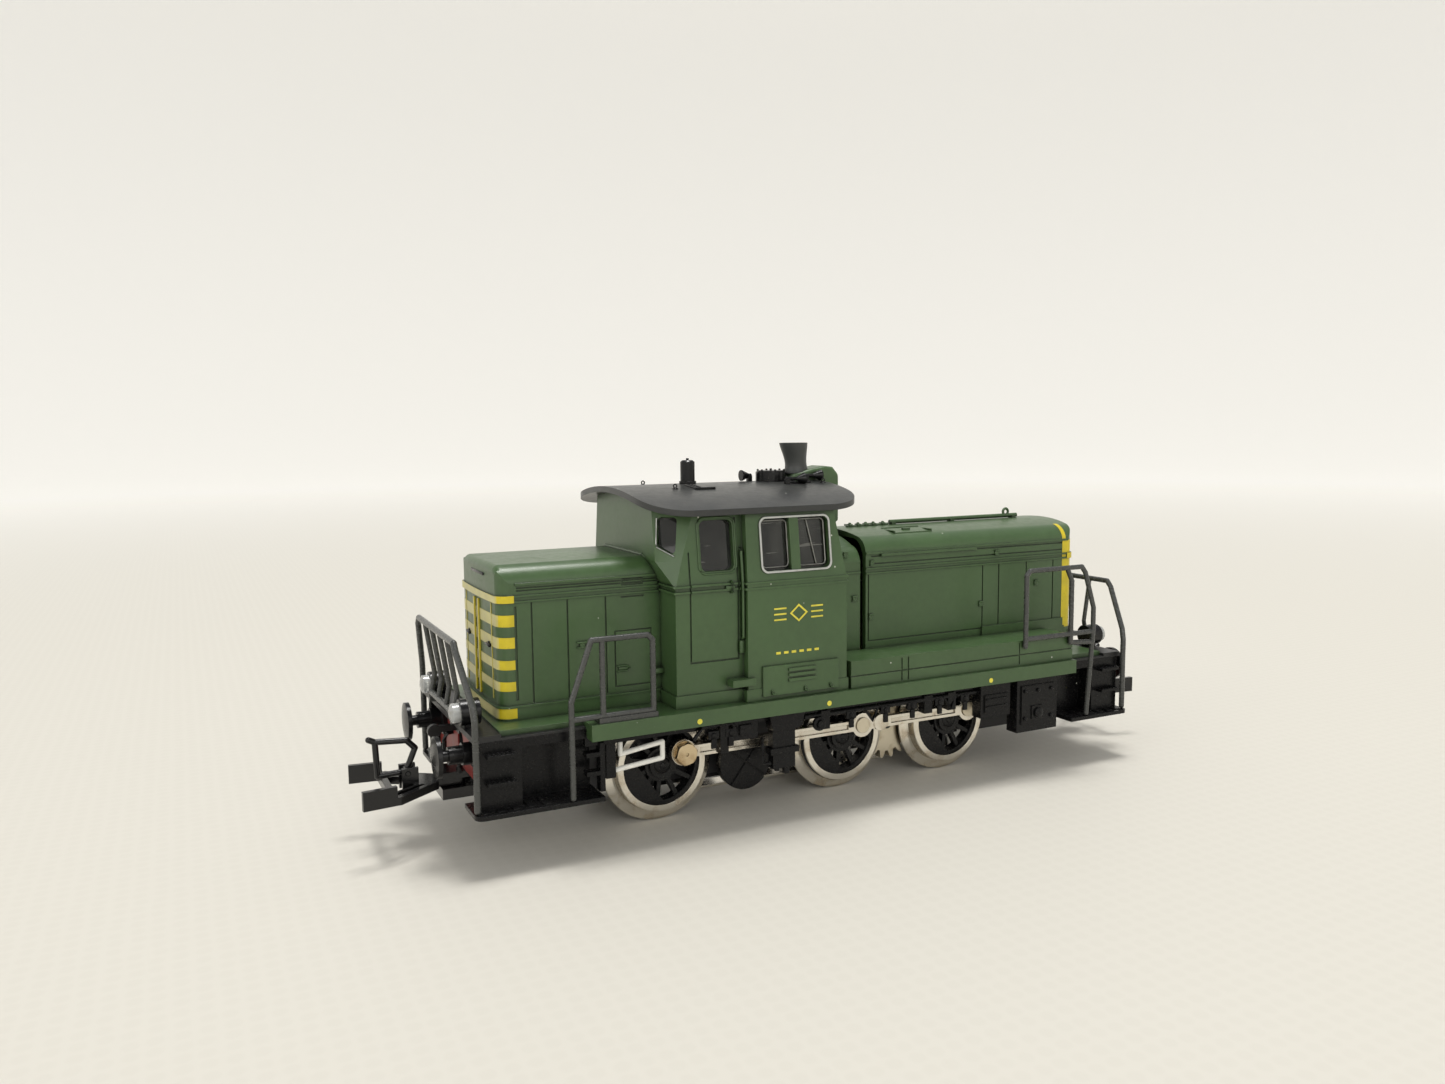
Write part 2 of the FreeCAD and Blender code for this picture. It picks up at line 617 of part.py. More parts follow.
# ---- couplers ----------------------------------------------------------------------------
def coupler_pocket():
    """The two lipped block that holds the short end coupler on its pivot pin."""
    block = box(-57.2, -51.4, -2.3, 2.3, 6.1, 9.9)
    slot = box(-58.0, -52.3, -3.0, 3.0, COUPLER_Z[0] - 0.1, COUPLER_Z[1] + 0.1)
    pin = rod_z(0.6, -PIVOT_X, 0, COUPLER_Z[0] - 0.2, COUPLER_Z[1] + 0.2)
    return fused([block.cut(slot), pin])


def coupler_head():
    """Shank, two slotted arms and the flared guide paddles of the short end coupler."""
    z0, z1 = COUPLER_Z
    shank = box(-59.4, -PIVOT_X, -1.1, 1.1, z0, z1)
    eye = rod_z(1.1, -PIVOT_X, 0, z0, z1)
    hub = box(-61.0, -57.6, -1.9, 1.9, z0, z1)
    pieces = [shank, eye, hub]
    arm = prism_xy([(-57.6, -1.9), (-58.4, -0.6), (-64.6, -4.1), (-64.6, -6.3), (-63.4, -6.3)], z0, z1)
    arm = arm.cut(prism_xy([(-59.4, -2.4), (-59.9, -1.95), (-63.7, -4.3), (-63.7, -5.35)], z0 - 1, z1 + 1))
    pieces += on_both_sides(arm)
    pieces.append(box(-64.6, -63.7, -6.3, 6.3, z0, z1))
    paddle = box(-68.4, -63.9, -6.3, -5.6, z0, 10.3)
    paddle.rotate(V(-63.9, -6.0, 0), ALONG_Z, 7)
    pieces += on_both_sides(paddle)
    for y in (-1.5, 0.9):
        pieces.append(box(-62.4, -60.2, y, y + 0.6, z0, BAIL_Z + 0.7))
    head = fused(pieces)
    head = head.cut(rod_z(0.65, -PIVOT_X, 0, z0 - 1, z1 + 1))
    return head.cut(rod_y(0.35, -BAIL_X, -3, 3, BAIL_Z))


def coupler_bail():
    """The upright loop that lifts for uncoupling, on a cross pin in the short end coupler."""
    loop = [(-BAIL_X, 0, BAIL_Z), (-65.4, 0, 10.1), (-65.6, 0, 14.9), (-61.4, 0, 14.6), (-60.3, 0, 13.4)]
    frame = wire_bar(loop + [loop[0]], 0.42)
    nose = wire_bar([(-65.6, 0, 14.9), (-66.4, 0, 15.3)], 0.42)
    pin = rod_y(0.3, -BAIL_X, -1.6, 1.6, BAIL_Z)
    boss = rod_y(0.6, -BAIL_X, -0.85, 0.85, BAIL_Z)
    return fused([frame, nose, pin, boss])


# ---- bodywork ----------------------------------------------------------------------------
def running_board():
    """The deck with its edge band, the opening over the frame, and the equipment boxes."""
    x0, x1 = BOARD_X
    z0 = DECK_TOP - DECK_THICK
    top = box(x0, x1, -DECK_HALF, DECK_HALF, z0, DECK_TOP)
    bands = []
    for y in (-DECK_HALF, DECK_HALF - 0.9):
        bands.append(box(x0, x1, y, y + 0.9, 16.0, z0))
    boards = [top] + bands
    boards += on_both_sides(box(x1 - 0.6, x1, -DECK_HALF, -14.6, 16.0, z0))
    boards += on_both_sides(box(x0, x0 + 0.6, -DECK_HALF, -15.6, 16.0, z0))
    boards.append(box(TONGUE_X, x0, -14.4, 14.4, TONGUE_Z, DECK_TOP))
    boards.append(box(x1, -TONGUE_X, -14.4, 14.4, TONGUE_Z, DECK_TOP))
    deck = fused(boards)
    deck = deck.cut(box(-50.2, 50.2, -8.6, 8.6, z0 - 1, DECK_TOP + 1))
    ties = [box(-29.0, -24.0, -8.6, 8.6, z0, DECK_TOP), box(33.5, 38.0, -8.6, 8.6, z0, DECK_TOP)]
    return fused([deck] + ties)


def equipment_box(bonnet_shell):
    """The long box on the deck beside the long bonnet, on the left."""
    body = box(BOX_X[0], BOX_X[1], -BOX_HALF, -HOOD_HALF, DECK_TOP, BOX_TOP).cut(bonnet_shell)
    body = body.cut(box(BOX_X[0] - 1, BOX_X[1] + 1, -BOX_HALF - 1, -BOX_HALF + 0.2, 19.95, 20.15))
    for x in (9.0, 10.2, 32.0):
        body = body.cut(box(x, x + 0.22, -BOX_HALF - 1, -BOX_HALF + 0.2, DECK_TOP + 0.3, BOX_TOP - 0.3))
    return body


def bonnet_section(half, shoulder, crown, base):
    """Cross section of a bonnet in the YZ plane: upright sides, round edges, low crown."""
    edge = 2.4
    knee = V(0, half - edge * 0.28, shoulder + edge * 0.58)
    start = V(0, half, shoulder)
    end = V(0, half - edge, shoulder + edge * 0.98)
    edges = [Part.LineSegment(V(0, half, base), start).toShape()]
    edges.append(Part.Arc(start, knee, end).toShape())
    edges.append(Part.Arc(end, V(0, 0, crown), V(0, -end.y, end.z)).toShape())
    edges.append(Part.Arc(V(0, -end.y, end.z), V(0, -knee.y, knee.z), V(0, -half, shoulder)).toShape())
    edges.append(Part.LineSegment(V(0, -half, shoulder), V(0, -half, base)).toShape())
    edges.append(Part.LineSegment(V(0, -half, base), V(0, half, base)).toShape())
    return Part.Face(Part.Wire(edges))


def bonnet_solid(x0, x1, half, shoulder, crown, base):
    face = bonnet_section(half, shoulder, crown, base)
    face.translate(V(x0, 0, 0))
    return face.extrude(V(x1 - x0, 0, 0))


def nose_plan(front, back, half, bulge, corner, grow):
    """Plan outline of a bonnet whose nose points to -X, as a tall prism."""
    h = half + grow
    f = front - grow
    side_x = f + bulge + corner
    a = V(back, -h, 0)
    b = V(side_x, -h, 0)
    c = V(f + bulge, -h + corner * 0.75, 0)
    mid_ab = V(f + bulge + corner * 0.32, -h + corner * 0.2, 0)
    edges = [Part.LineSegment(a, b).toShape(), Part.Arc(b, mid_ab, c).toShape()]
    edges.append(Part.Arc(c, V(f, 0, 0), V(c.x, -c.y, 0)).toShape())
    edges.append(Part.Arc(V(c.x, -c.y, 0), V(mid_ab.x, -mid_ab.y, 0), V(b.x, -b.y, 0)).toShape())
    edges.append(Part.LineSegment(V(b.x, h, 0), V(back, h, 0)).toShape())
    edges.append(Part.LineSegment(V(back, h, 0), a).toShape())
    prism = Part.Face(Part.Wire(edges)).extrude(V(0, 0, 60))
    return prism


def bonnet(front, back, bulge, shoulder, crown, seams):
    """A hollow bonnet whose nose points to -X, with skirt, belt ribs, gutter and seams."""
    half = HOOD_HALF
    outer = bonnet_solid(front - 1, back, half, shoulder, crown, DECK_TOP)
    outer = outer.common(nose_plan(front, back, half, bulge, 2.0, 0))
    outer = softened_nose(outer, front, shoulder)
    ribs = []
    for z0, z1, grow in ((DECK_TOP, 19.9, 0.3), (19.9, 20.15, 0.45), (34.0, 34.25, 0.2), (34.75, 35.0, 0.2)):
        ring = nose_plan(front, back, half, bulge, 2.0, grow)
        ribs.append(ring.common(box(front - 2, back, -15, 15, z0, z1)))
    gutter = on_both_sides(box(front + 2.6, back, -half - 0.22, -half + 0.4, shoulder - 0.3, shoulder))
    outer = fused([outer] + ribs + gutter)
    inner = bonnet_solid(front - 1, back + 1, half - HOOD_WALL, shoulder - 0.4, crown - HOOD_WALL, DECK_TOP - 1)
    inner = inner.common(nose_plan(front, back + 1, half, bulge, 2.0, -HOOD_WALL))
    grooves = []
    for x in seams:
        grooves += groove(x - 0.11, x + 0.11, 20.3, 33.9)
    for z in (35.5, shoulder - 0.75):
        grooves += groove(front + 2.8, back - 1.0, z, z + 0.2)
    return outer.cut(inner).cut(grooves)


def groove(x0, x1, z0, z1):
    """A shallow engraved line in both flanks of a bonnet."""
    return on_both_sides(box(x0, x1, -HOOD_HALF - 1, -HOOD_HALF + 0.2, z0, z1))


def groove_outline(x0, x1, z0, z1):
    """Four engraved lines round a door or a panel in both flanks of a bonnet."""
    line = 0.2
    upright = groove(x0, x0 + line, z0, z1) + groove(x1 - line, x1, z0, z1)
    return upright + groove(x0, x1, z0, z0 + line) + groove(x0, x1, z1 - line, z1)


def softened_nose(solid, front, shoulder):
    """Round the edge between the nose and the top, where the kernel allows it."""
    chosen = []
    for edge in solid.Edges:
        b = edge.BoundBox
        if b.XMax < front + 2.5 and b.ZMin > shoulder + 1.5:
            chosen.append(edge)
    try:
        rounded = solid.makeFillet(0.9, chosen)
    except Exception:
        return solid
    return rounded if rounded.isValid() else solid


def cab_lean(z):
    """0 at the belt and below, 1 at the eaves."""
    return max(0.0, z - BELT_Z) / (EAVES_Z - BELT_Z)


def cant(z):
    """0 at the belt and below, 1 where the short end's canted corners have their full width."""
    return min(1.0, max(0.0, z - BELT_Z) / (CANT_Z - BELT_Z))


def short_end_wall(z):
    """Middle of the short end wall in X, its half width, and its corners in X."""
    middle = CAB_X[0] - 0.02 - cant(z) * CANT_OUT
    half = CAB_HALF - 0.05 - cant(z) * (CAB_HALF - CANT_HALF) - 0.15 * max(0.0, z - CANT_Z)
    return middle, half, CAB_X[0] + cab_lean(z) * CAB_LEAN[0]


def cab_plan(grow, z):
    """Cab outline at one height: the door part, and the wider bay towards the long bonnet."""
    lean = cab_lean(z)
    middle, half, side = short_end_wall(z)
    spread = grow * (1 - 0.6 * cant(z))
    x1 = CAB_X[1] + grow - lean * CAB_LEAN[1]
    step = BAY_X - grow + lean * 0.3
    h0 = CAB_HALF + grow - lean * CAB_LEAN[2]
    h1 = BAY_HALF + grow - lean * CAB_LEAN[2]
    left = [(middle - grow, -half - spread), (side - spread, -h0), (step, -h0), (step, -h1), (x1, -h1)]
    outline = left + [(x, -y) for x, y in reversed(left)]
    corners = [V(x, y, z) for x, y in outline]
    return Part.makePolygon(corners + corners[:1])


def cab_volume(grow, z0=DECK_TOP):
    """The whole cab as a solid, offset outwards by grow: upright to the belt, then leaning."""
    stages = [Part.Face(cab_plan(grow, z0)).extrude(V(0, 0, BELT_Z - z0))]
    for z_low, z_high in ((BELT_Z, CANT_Z), (CANT_Z, CAB_TOP)):
        stages.append(Part.makeLoft([cab_plan(grow, z_low), cab_plan(grow, z_high)], True, True))
    return fused(stages)


def arch(drop, x0, x1):
    """Everything below the roof's arched surface, lowered by drop."""
    z_edge = ROOF_EDGE - drop
    left = V(x0, -ROOF_HALF, z_edge)
    right = V(x0, ROOF_HALF, z_edge)
    edges = [Part.Arc(left, V(x0, 0, ROOF_CROWN - drop), right).toShape()]
    edges.append(Part.LineSegment(right, V(x0, ROOF_HALF, 10)).toShape())
    edges.append(Part.LineSegment(V(x0, ROOF_HALF, 10), V(x0, -ROOF_HALF, 10)).toShape())
    edges.append(Part.LineSegment(V(x0, -ROOF_HALF, 10), left).toShape())
    return Part.Face(Part.Wire(edges)).extrude(V(x1 - x0, 0, 0))


def window_block(x0, x1, z0, z1, corner):
    """A rounded window opening in a side wall, as a prism along Y through the left wall."""
    block = box(x0, x1, -22, -10, z0, z1)
    upright = [e for e in block.Edges if e.BoundBox.YLength > 1]
    return block.makeFillet(corner, upright)


def end_window(margin):
    """The window in the left half of the long end wall, its sill raised towards the bonnet."""
    y0, y1, z0, z1 = END_WINDOW
    low = z0 - margin
    high = z1 + margin
    corners = [(-y0 + margin, low + 1.2), (-y1 - margin, low), (-y1 - margin, high), (-y0 + margin, high)]
    block = face_of([(CAB_X[1] - 6, y, z) for y, z in corners]).extrude(V(12, 0, 0))
    return block.makeFillet(0.8, [e for e in block.Edges if e.BoundBox.XLength > 1])


def corner_window(margin):
    """The window in the left canted corner of the short end, as a prism square to the corner."""
    middle, half, side = short_end_wall(42.0)
    start = V(middle, -half, 0)
    along = V(side, -CAB_HALF + 0.84, 0) - start
    along.normalize()
    outward = V(along.y, -along.x, 0)
    near = start + along * (0.5 - margin) + outward * 3
    far = start + along * (3.3 + margin) + outward * 3
    outline = [(near, 40.6 - margin), (far, 39.3 - margin), (far, 44.6 + margin), (near, 44.6 + margin)]
    block = face_of([(p.x, p.y, z) for p, z in outline]).extrude(outward * -6)
    return block.makeFillet(0.6, [e for e in block.Edges if abs(e.Length - 6) < 0.01])


def end_windows(margin=0.0):
    return on_both_sides(corner_window(margin)) + on_both_sides(end_window(margin))


def cab_outside():
    """The cab's outer form with its skirt and its two belt ribs, before it is hollowed."""
    ribs = []
    for z0, z1, grow in ((DECK_TOP, 20.0, 0.25), (34.2, 34.5, 0.3), (35.0, 35.3, 0.3)):
        ribs.append(cab_volume(grow).common(box(-35, 10, -20, 20, z0, z1)))
    return fused([cab_volume(0)] + ribs)


def cab_shell():
    outer = cab_outside().common(arch(ROOF_THICK, -35, 10))
    shell = outer.cut(cab_volume(-CAB_WALL, DECK_TOP - 1))
    for opening in (DOOR_WINDOW, BAY_WINDOW):
        for prism in on_both_sides(window_block(*opening)):
            shell = shell.cut(prism)
    for prism in end_windows():
        shell = shell.cut(prism)
    shell = shell.cut([seam.common(cab_skin(0.4, -0.22)) for seam in door_seams()])
    fittings = on_both_sides(box(-19.8, -16.2, -17.4, -14.9, 20.7, 21.7))
    fittings += on_both_sides(box(-14.9, -2.3, -BAY_HALF - 0.35, -BAY_HALF + 0.3, 18.8, 23.1))
    fittings += on_both_sides(louvre_panel())
    return fused([shell] + [f.cut(cab_volume(-CAB_WALL / 2)) for f in fittings])


def door_seams():
    """The gap round each cab door."""
    right = box(-18.0, -17.75, -22, -10, 24.3, 44.4)
    left = box(-25.4, -25.15, -22, -10, 24.3, 39.8)
    sill = box(-25.4, -17.75, -22, -10, 24.3, 24.55)
    return on_both_sides(right) + on_both_sides(left) + on_both_sides(sill)


def louvre_panel():
    """Three short slats on the plate under the bay window."""
    out = -BAY_HALF - 0.6
    slats = [box(-10.8, -6.3, out, -BAY_HALF, z, z + 0.45) for z in (20.6, 21.35, 22.1)]
    return fused(slats)


def cab_skin(outside, inside):
    """The layer of the cab's walls between two offsets."""
    return cab_volume(outside).cut(cab_volume(inside))


def cab_glazing():
    """The clear insert: one pane behind each window, against the cab's inner wall."""
    skin = cab_skin(-CAB_WALL, -CAB_WALL - 0.5)
    skin = skin.common(arch(ROOF_THICK + 0.4, -35, 10))
    blocks = []
    for opening, y in ((DOOR_WINDOW, -12.65), (BAY_WINDOW, -13.9)):
        x0, x1, z0, z1, corner = opening
        blocks += on_both_sides(box(x0 - 0.6, x1 + 0.6, -22, y, z0 - 0.7, z1 + 0.7))
    blocks += end_windows(0.4)
    return [solid for block in blocks for solid in skin.common(block).Solids]


def bay_window_frames():
    """The bright frames round the bay windows, with the middle bar of the sliding panes."""
    x0, x1, z0, z1, corner = BAY_WINDOW
    outside = window_block(x0 - BAY_TRIM, x1 + BAY_TRIM, z0 - BAY_TRIM, z1 + BAY_TRIM, corner + 0.2)
    ring = outside.cut(window_block(x0, x1, z0, z1, corner))
    skin = cab_skin(0.22, 0)
    return [skin.common(prism).Solids[0] for prism in on_both_sides(ring)]


def window_bars():
    """The upright bar between the two sliding panes of each bay window."""
    skin = cab_skin(0.1, -CAB_WALL)
    bar = box(WINDOW_BAR[0], WINDOW_BAR[1], -22, -10, BAY_WINDOW[2], BAY_WINDOW[3])
    return [skin.common(prism).Solids[0] for prism in on_both_sides(bar)]


def cab_roof():
    """The arched roof sheet with an overhang that narrows towards each end."""
    half_plan = [(-25.4, 16.9), (-27.6, 16.4), (-29.6, 15.2), (-30.9, 13.2), (-31.5, 9.0), (-31.7, 0.0)]
    left_end = [V(x, y, 30) for x, y in half_plan] + [V(x, -y, 30) for x, y in reversed(half_plan[:-1])]
    right_end = [V(2 * ROOF_MIDDLE - p.x, p.y, 30) for p in left_end]
    curve_a = Part.BSplineCurve()
    curve_a.interpolate(left_end)
    curve_b = Part.BSplineCurve()
    curve_b.interpolate(right_end)
    sides = [Part.LineSegment(left_end[0], right_end[0]), Part.LineSegment(left_end[-1], right_end[-1])]
    edges = [curve_a.toShape(), sides[1].toShape(), curve_b.toShape(), sides[0].toShape()]
    plan = Part.Face(Part.Wire(Part.__sortEdges__(edges))).extrude(V(0, 0, 30))
    sheet = arch(0, -35, 8).cut(arch(ROOF_THICK, -36, 9))
    return sheet.common(plan)


def on_roof(shape, roof):
    """Trim a fitting so that it stands on the arched roof."""
    return shape.cut(roof)


def roof_stack(roof):
    post = fused([rod_z(1.3, -18.4, 0, 47.9, 48.9), rod_z(1.1, -18.4, 0, 48.6, 51.8)])
    cap = Part.makeCone(1.1, 0.8, 0.25, V(-18.4, 0, 51.8), ALONG_Z)
    return on_roof(fused([post, cap, rod_z(0.22, -18.4, 0, 52.0, 52.35)]), roof)


def roof_ventilator(roof):
    drum = rod_z(2.4, -4.0, 0, 47.9, 49.95)
    lid = rod_z(2.15, -4.0, 0, 49.9, 50.15)
    studs = [rod_z(0.18, -4.0, 0, 50.1, 50.45)]
    for index in range(6):
        angle = math.radians(60 * index + 20)
        studs.append(rod_z(0.16, -4.0 + 2.1 * math.cos(angle), 2.1 * math.sin(angle), 49.9, 50.35))
    return on_roof(fused([drum, lid] + studs), roof)


def horn(x_throat, x_bell, y, z):
    """One trumpet: a thin pipe that flares into a bell, on a small foot."""
    step = 1 if x_bell > x_throat else -1
    flare = Part.makeCone(0.25, 0.85, 1.3, V(x_bell - step * 1.3, y, z), V(step, 0, 0))
    lip = Part.makeCylinder(0.85, 0.2, V(x_bell, y, z), V(step, 0, 0))
    pipe = Part.makeCylinder(0.28, abs(x_bell - x_throat) - 1.0, V(x_throat, y, z), V(step, 0, 0))
    foot_x = x_throat + step * 0.3
    foot = box(foot_x - 0.35, foot_x + 0.35, y - 0.35, y + 0.35, z - 1.2, z)
    return fused([flare, lip, pipe, foot])


def horns(roof):
    trumpets = [horn(-4.5, -1.3, -5.5, 49.0), horn(0.1, 3.0, -3.3, 49.3), horn(-6.8, -8.4, 1.4, 49.4)]
    return [on_roof(t, roof) for t in trumpets]


def exhaust_duct(roof):
    """The duct that rises from the bonnet in front of the cab and bends back over the roof."""
    outline = [(3.8, 40.0), (6.3, 40.0), (6.3, 41.4), (7.0, 42.0), (7.0, 49.6), (6.2, 50.5), (4.6, 50.7)]
    outline += [(1.6, 50.2), (-1.0, 49.5), (-1.5, 49.0), (-1.5, 47.6), (3.8, 47.6)]
    duct = prism_xz(outline, -2.3, 2.3)
    long_edges = [e for e in duct.Edges if e.BoundBox.YLength < 0.01 and e.BoundBox.ZMin > 49.4]
    duct = duct.makeFillet(0.6, long_edges)
    duct = on_roof(duct, roof)
    return duct.cut(cab_outside())


def chimney():
    """The flared exhaust stub on the duct, leaning slightly to the short end."""
    rings = ((0.6, 49.6, 2.1), (0.55, 51.0, 1.72), (0.35, 52.6, 1.9), (0.1, 54.4, 2.25))
    wires = [Part.Wire(Part.makeCircle(r, V(x, 0, z), ALONG_Z)) for x, z, r in rings]
    outer = Part.makeLoft(wires, True, False)
    bore = Part.makeCone(1.4, 1.95, 2.6, V(0.2, 0, 51.9), ALONG_Z)
    return outer.cut(bore)


def short_bonnet():
    shell = bonnet(SHORT_FRONT, -24.0, 0.25, 36.6, 39.0, (-46.2, -41.2, -35.7))
    lines = groove(-48.6, -48.25, 20.8, 33.5)
    lines += groove_outline(-34.5, -28.9, 21.0, 29.0)
    lines += groove(-34.3, -29.1, 28.15, 28.35)
    lines += groove(-33.4, -30.0, 33.55, 33.75)
    lines += groove_outline(-33.3, -30.1, 35.25, 36.3)
    return shell.cut(lines).cut(cab_outside())


def body_screw_web():
    """The cross web and pillar inside the short bonnet that take the body screw."""
    web = box(-43.0, -41.0, -9.0, 9.0, DECK_TOP, 24.0)
    pillar = rod_z(2.2, -42.0, 0, DECK_TOP, 24.0)
    return fused([web, pillar]).cut(rod_z(0.9, -42.0, 0, DECK_TOP - 1, 23.0))


def body_screw():
    head = rod_z(1.7, -42.0, 0, 4.0, FRAME_Z[0]).cut(box(-44, -40, -0.2, 0.2, 3.9, 4.4))
    shank = rod_z(0.95, -42.0, 0, FRAME_Z[0], DECK_TOP)
    return fused([head, shank, rod_z(0.9, -42.0, 0, DECK_TOP, 22.0)])


def bonnet_neck():
    """The low first section of the long bonnet, between cab and main bonnet."""
    half = HOOD_HALF - 0.5
    outer = bonnet_solid(-4.5, NECK_END, half, 36.0, 39.9, DECK_TOP)
    belt = on_both_sides(box(-4.0, NECK_END, -half - 0.2, -half + 0.5, 34.2, 34.5))
    inner = bonnet_solid(-5.5, NECK_END + 1, half - HOOD_WALL, 35.6, 39.9 - HOOD_WALL, DECK_TOP - 1)
    shell = fused([outer] + belt).cut(inner).cut(cab_outside())
    return shell.cut(box(3.8, 6.3, -2.3, 2.3, 40.0, 45))


def long_bonnet():
    shell = bonnet(-LONG_FRONT, -LONG_START, 1.1, 37.4, 40.5, (-45.4, -39.5, -33.6, -30.2))
    lines = groove(-30.2, -7.6, 23.4, 23.6) + groove(-7.8, -7.6, 23.4, 33.9)
    half = HOOD_HALF
    ribs = on_both_sides(box(-47.5, -30.0, -half - 0.35, -half + 0.5, 20.2, 23.8))
    ribs += on_both_sides(box(-28.6, -9.9, -half - 0.45, -half + 0.3, 36.7, 37.1))
    return mirror_x(fused([shell.cut(lines)] + ribs))


def bonnet_rod():
    """The ridge rod on the long bonnet, with a loop at its far end."""
    rod = rod_x(0.35, 18.6, 45.9, 0, 40.95)
    feet = [box(x, x + 0.8, -0.5, 0.5, 40.3, 40.95) for x in (18.8, 31.0, 44.6)]
    loop = Part.makeTorus(0.55, 0.22, V(43.5, 0, 41.6), ALONG_Y)
    return fused([rod, loop] + feet)


def relay():
    """The reversing relay under the short bonnet: coil on a bent steel bracket."""
    bracket = fused([box(-39.5, -38.7, -4, 4, FRAME_Z[1], 30.0), box(-39.5, -30.0, -4, 4, FRAME_Z[1], 18.0)])
    coil = rod_x(3.8, -38.7, -31.0, 0, 24.6)
    return [bracket, coil]


# ---- write every piece -------------------------------------------------------------------
def write_wheelsets():
    for x, name in zip(WHEEL_X, WHEEL_NAMES):
        driven = name != "short_end"
        save("axle_" + name, axle(x, driven))
        save("tyres_" + name, [tyre(x, side, name == GRIPPING) for side in (-1, 1)])
        save("wheel_centres_" + name, [wheel_centre(x, side) for side in (-1, 1)])
        save("crank_pins_" + name, [crank_pin(x, side, name == "short_end") for side in (-1, 1)])
        if name == GRIPPING:
            save("traction_tyres_" + name, [traction_tyre(x, side) for side in (-1, 1)])
    save("coupling_rod_left", coupling_rod(-1))
    save("coupling_rod_right", coupling_rod(1))


def write_drive():
    save("idler_gear", idler_gear())
    save("reduction_gear", reduction_gear())
    save("armature_core", armature())
    save("armature_shaft", armature_shaft())
    save("field_magnet", field_magnet())
    save("motor_shield", motor_shield())
    save("carbon_brushes", brushes())
    save("reversing_relay", relay())


def write_underframe():
    save("chassis_frame", chassis_frame())
    save("base_plate", base_plate())
    save("pickup_shoe", pickup_shoe())
    save("jackshaft_discs", on_both_sides(jackshaft_disc()))
    save("side_frames", on_both_sides(side_frame()))
    save("rail_guard_pipes", on_both_sides(rail_guard_pipe()))
    save("body_screw", body_screw())


def write_ends():
    save("buffer_beam_short_end", fused([buffer_beam(BOARD_X[0]), draw_hook()]))
    save("buffer_beam_long_end", mirror_x(fused([buffer_beam(-BOARD_X[1]), draw_hook()])))
    save_ends("end_railing", end_railing())
    save_ends("coupler_head", coupler_head())
    save_ends("coupler_bail", coupler_bail())
    save("buffers", at_both_ends([buffer(y) for y in (-BUFFER_Y, BUFFER_Y)]))
    save("lamp_housings", at_both_ends([lamp_housing(y) for y in (-LAMP_Y, LAMP_Y)]))
    save("lamp_lenses", at_both_ends([lamp_lens(y) for y in (-LAMP_Y, LAMP_Y)]))
    save("light_bulbs", at_both_ends([light_bulb()]))
    save("coupler_pockets", at_both_ends([coupler_pocket()]))
    long_steps = [mirror_x(s) for s in on_both_sides(step_well(-44.2))]
    save("corner_steps", on_both_sides(step_well(-39.8)) + long_steps)
    save("handrails_short_bonnet", on_both_sides(short_handrail()))
    save("handrails_long_bonnet", on_both_sides(long_handrail()))


def write_body():
    roof = cab_roof()
    bonnet_shell = long_bonnet()
    save("running_board", running_board())
    save("equipment_boxes", on_both_sides(equipment_box(bonnet_shell)))
    save("short_bonnet", fused([short_bonnet(), body_screw_web()]))
    save("bonnet_neck", bonnet_neck())
    save("long_bonnet", fused([bonnet_shell, bonnet_rod()]))
    save("cab_shell", fused([cab_shell()] + window_bars()))
    save("cab_glazing", cab_glazing())
    save("bay_window_frames", bay_window_frames())
    save("cab_roof", roof)
    save("roof_stack", roof_stack(roof))
    save("roof_ventilator", roof_ventilator(roof))
    save("horns", horns(roof))
    save("exhaust_duct", exhaust_duct(roof))
    save("chimney", chimney().cut(exhaust_duct(roof)))


os.makedirs(OUT_DIR, exist_ok=True)
write_wheelsets()
write_drive()
write_underframe()
write_ends()
write_body()
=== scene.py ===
"""The looks of the H0 diesel shunter, built around its CAD frame.

Places and sizes are in millimetres in the CAD frame, and become metres where a mesh is made.
X runs from the short bonnet to the long bonnet, the left side is -Y and Z is up.
"""

import math

import bmesh
import bpy
from mathutils import Matrix, Vector


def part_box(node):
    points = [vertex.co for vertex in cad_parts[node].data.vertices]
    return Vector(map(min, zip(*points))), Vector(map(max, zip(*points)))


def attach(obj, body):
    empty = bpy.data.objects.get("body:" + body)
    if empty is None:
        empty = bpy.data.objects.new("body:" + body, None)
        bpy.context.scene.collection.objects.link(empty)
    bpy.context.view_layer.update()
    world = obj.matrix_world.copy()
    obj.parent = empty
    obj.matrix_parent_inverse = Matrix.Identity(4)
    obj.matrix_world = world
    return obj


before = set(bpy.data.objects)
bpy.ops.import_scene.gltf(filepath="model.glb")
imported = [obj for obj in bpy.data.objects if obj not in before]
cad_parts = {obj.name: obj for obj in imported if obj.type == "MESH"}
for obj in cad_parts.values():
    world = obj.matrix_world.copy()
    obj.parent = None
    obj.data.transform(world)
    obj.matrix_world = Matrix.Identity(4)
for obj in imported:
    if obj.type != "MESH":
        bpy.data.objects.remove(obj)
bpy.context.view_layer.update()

MM = 0.001
BODY = "chassis"


def low(node):
    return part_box(node)[0] / MM


def high(node):
    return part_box(node)[1] / MM


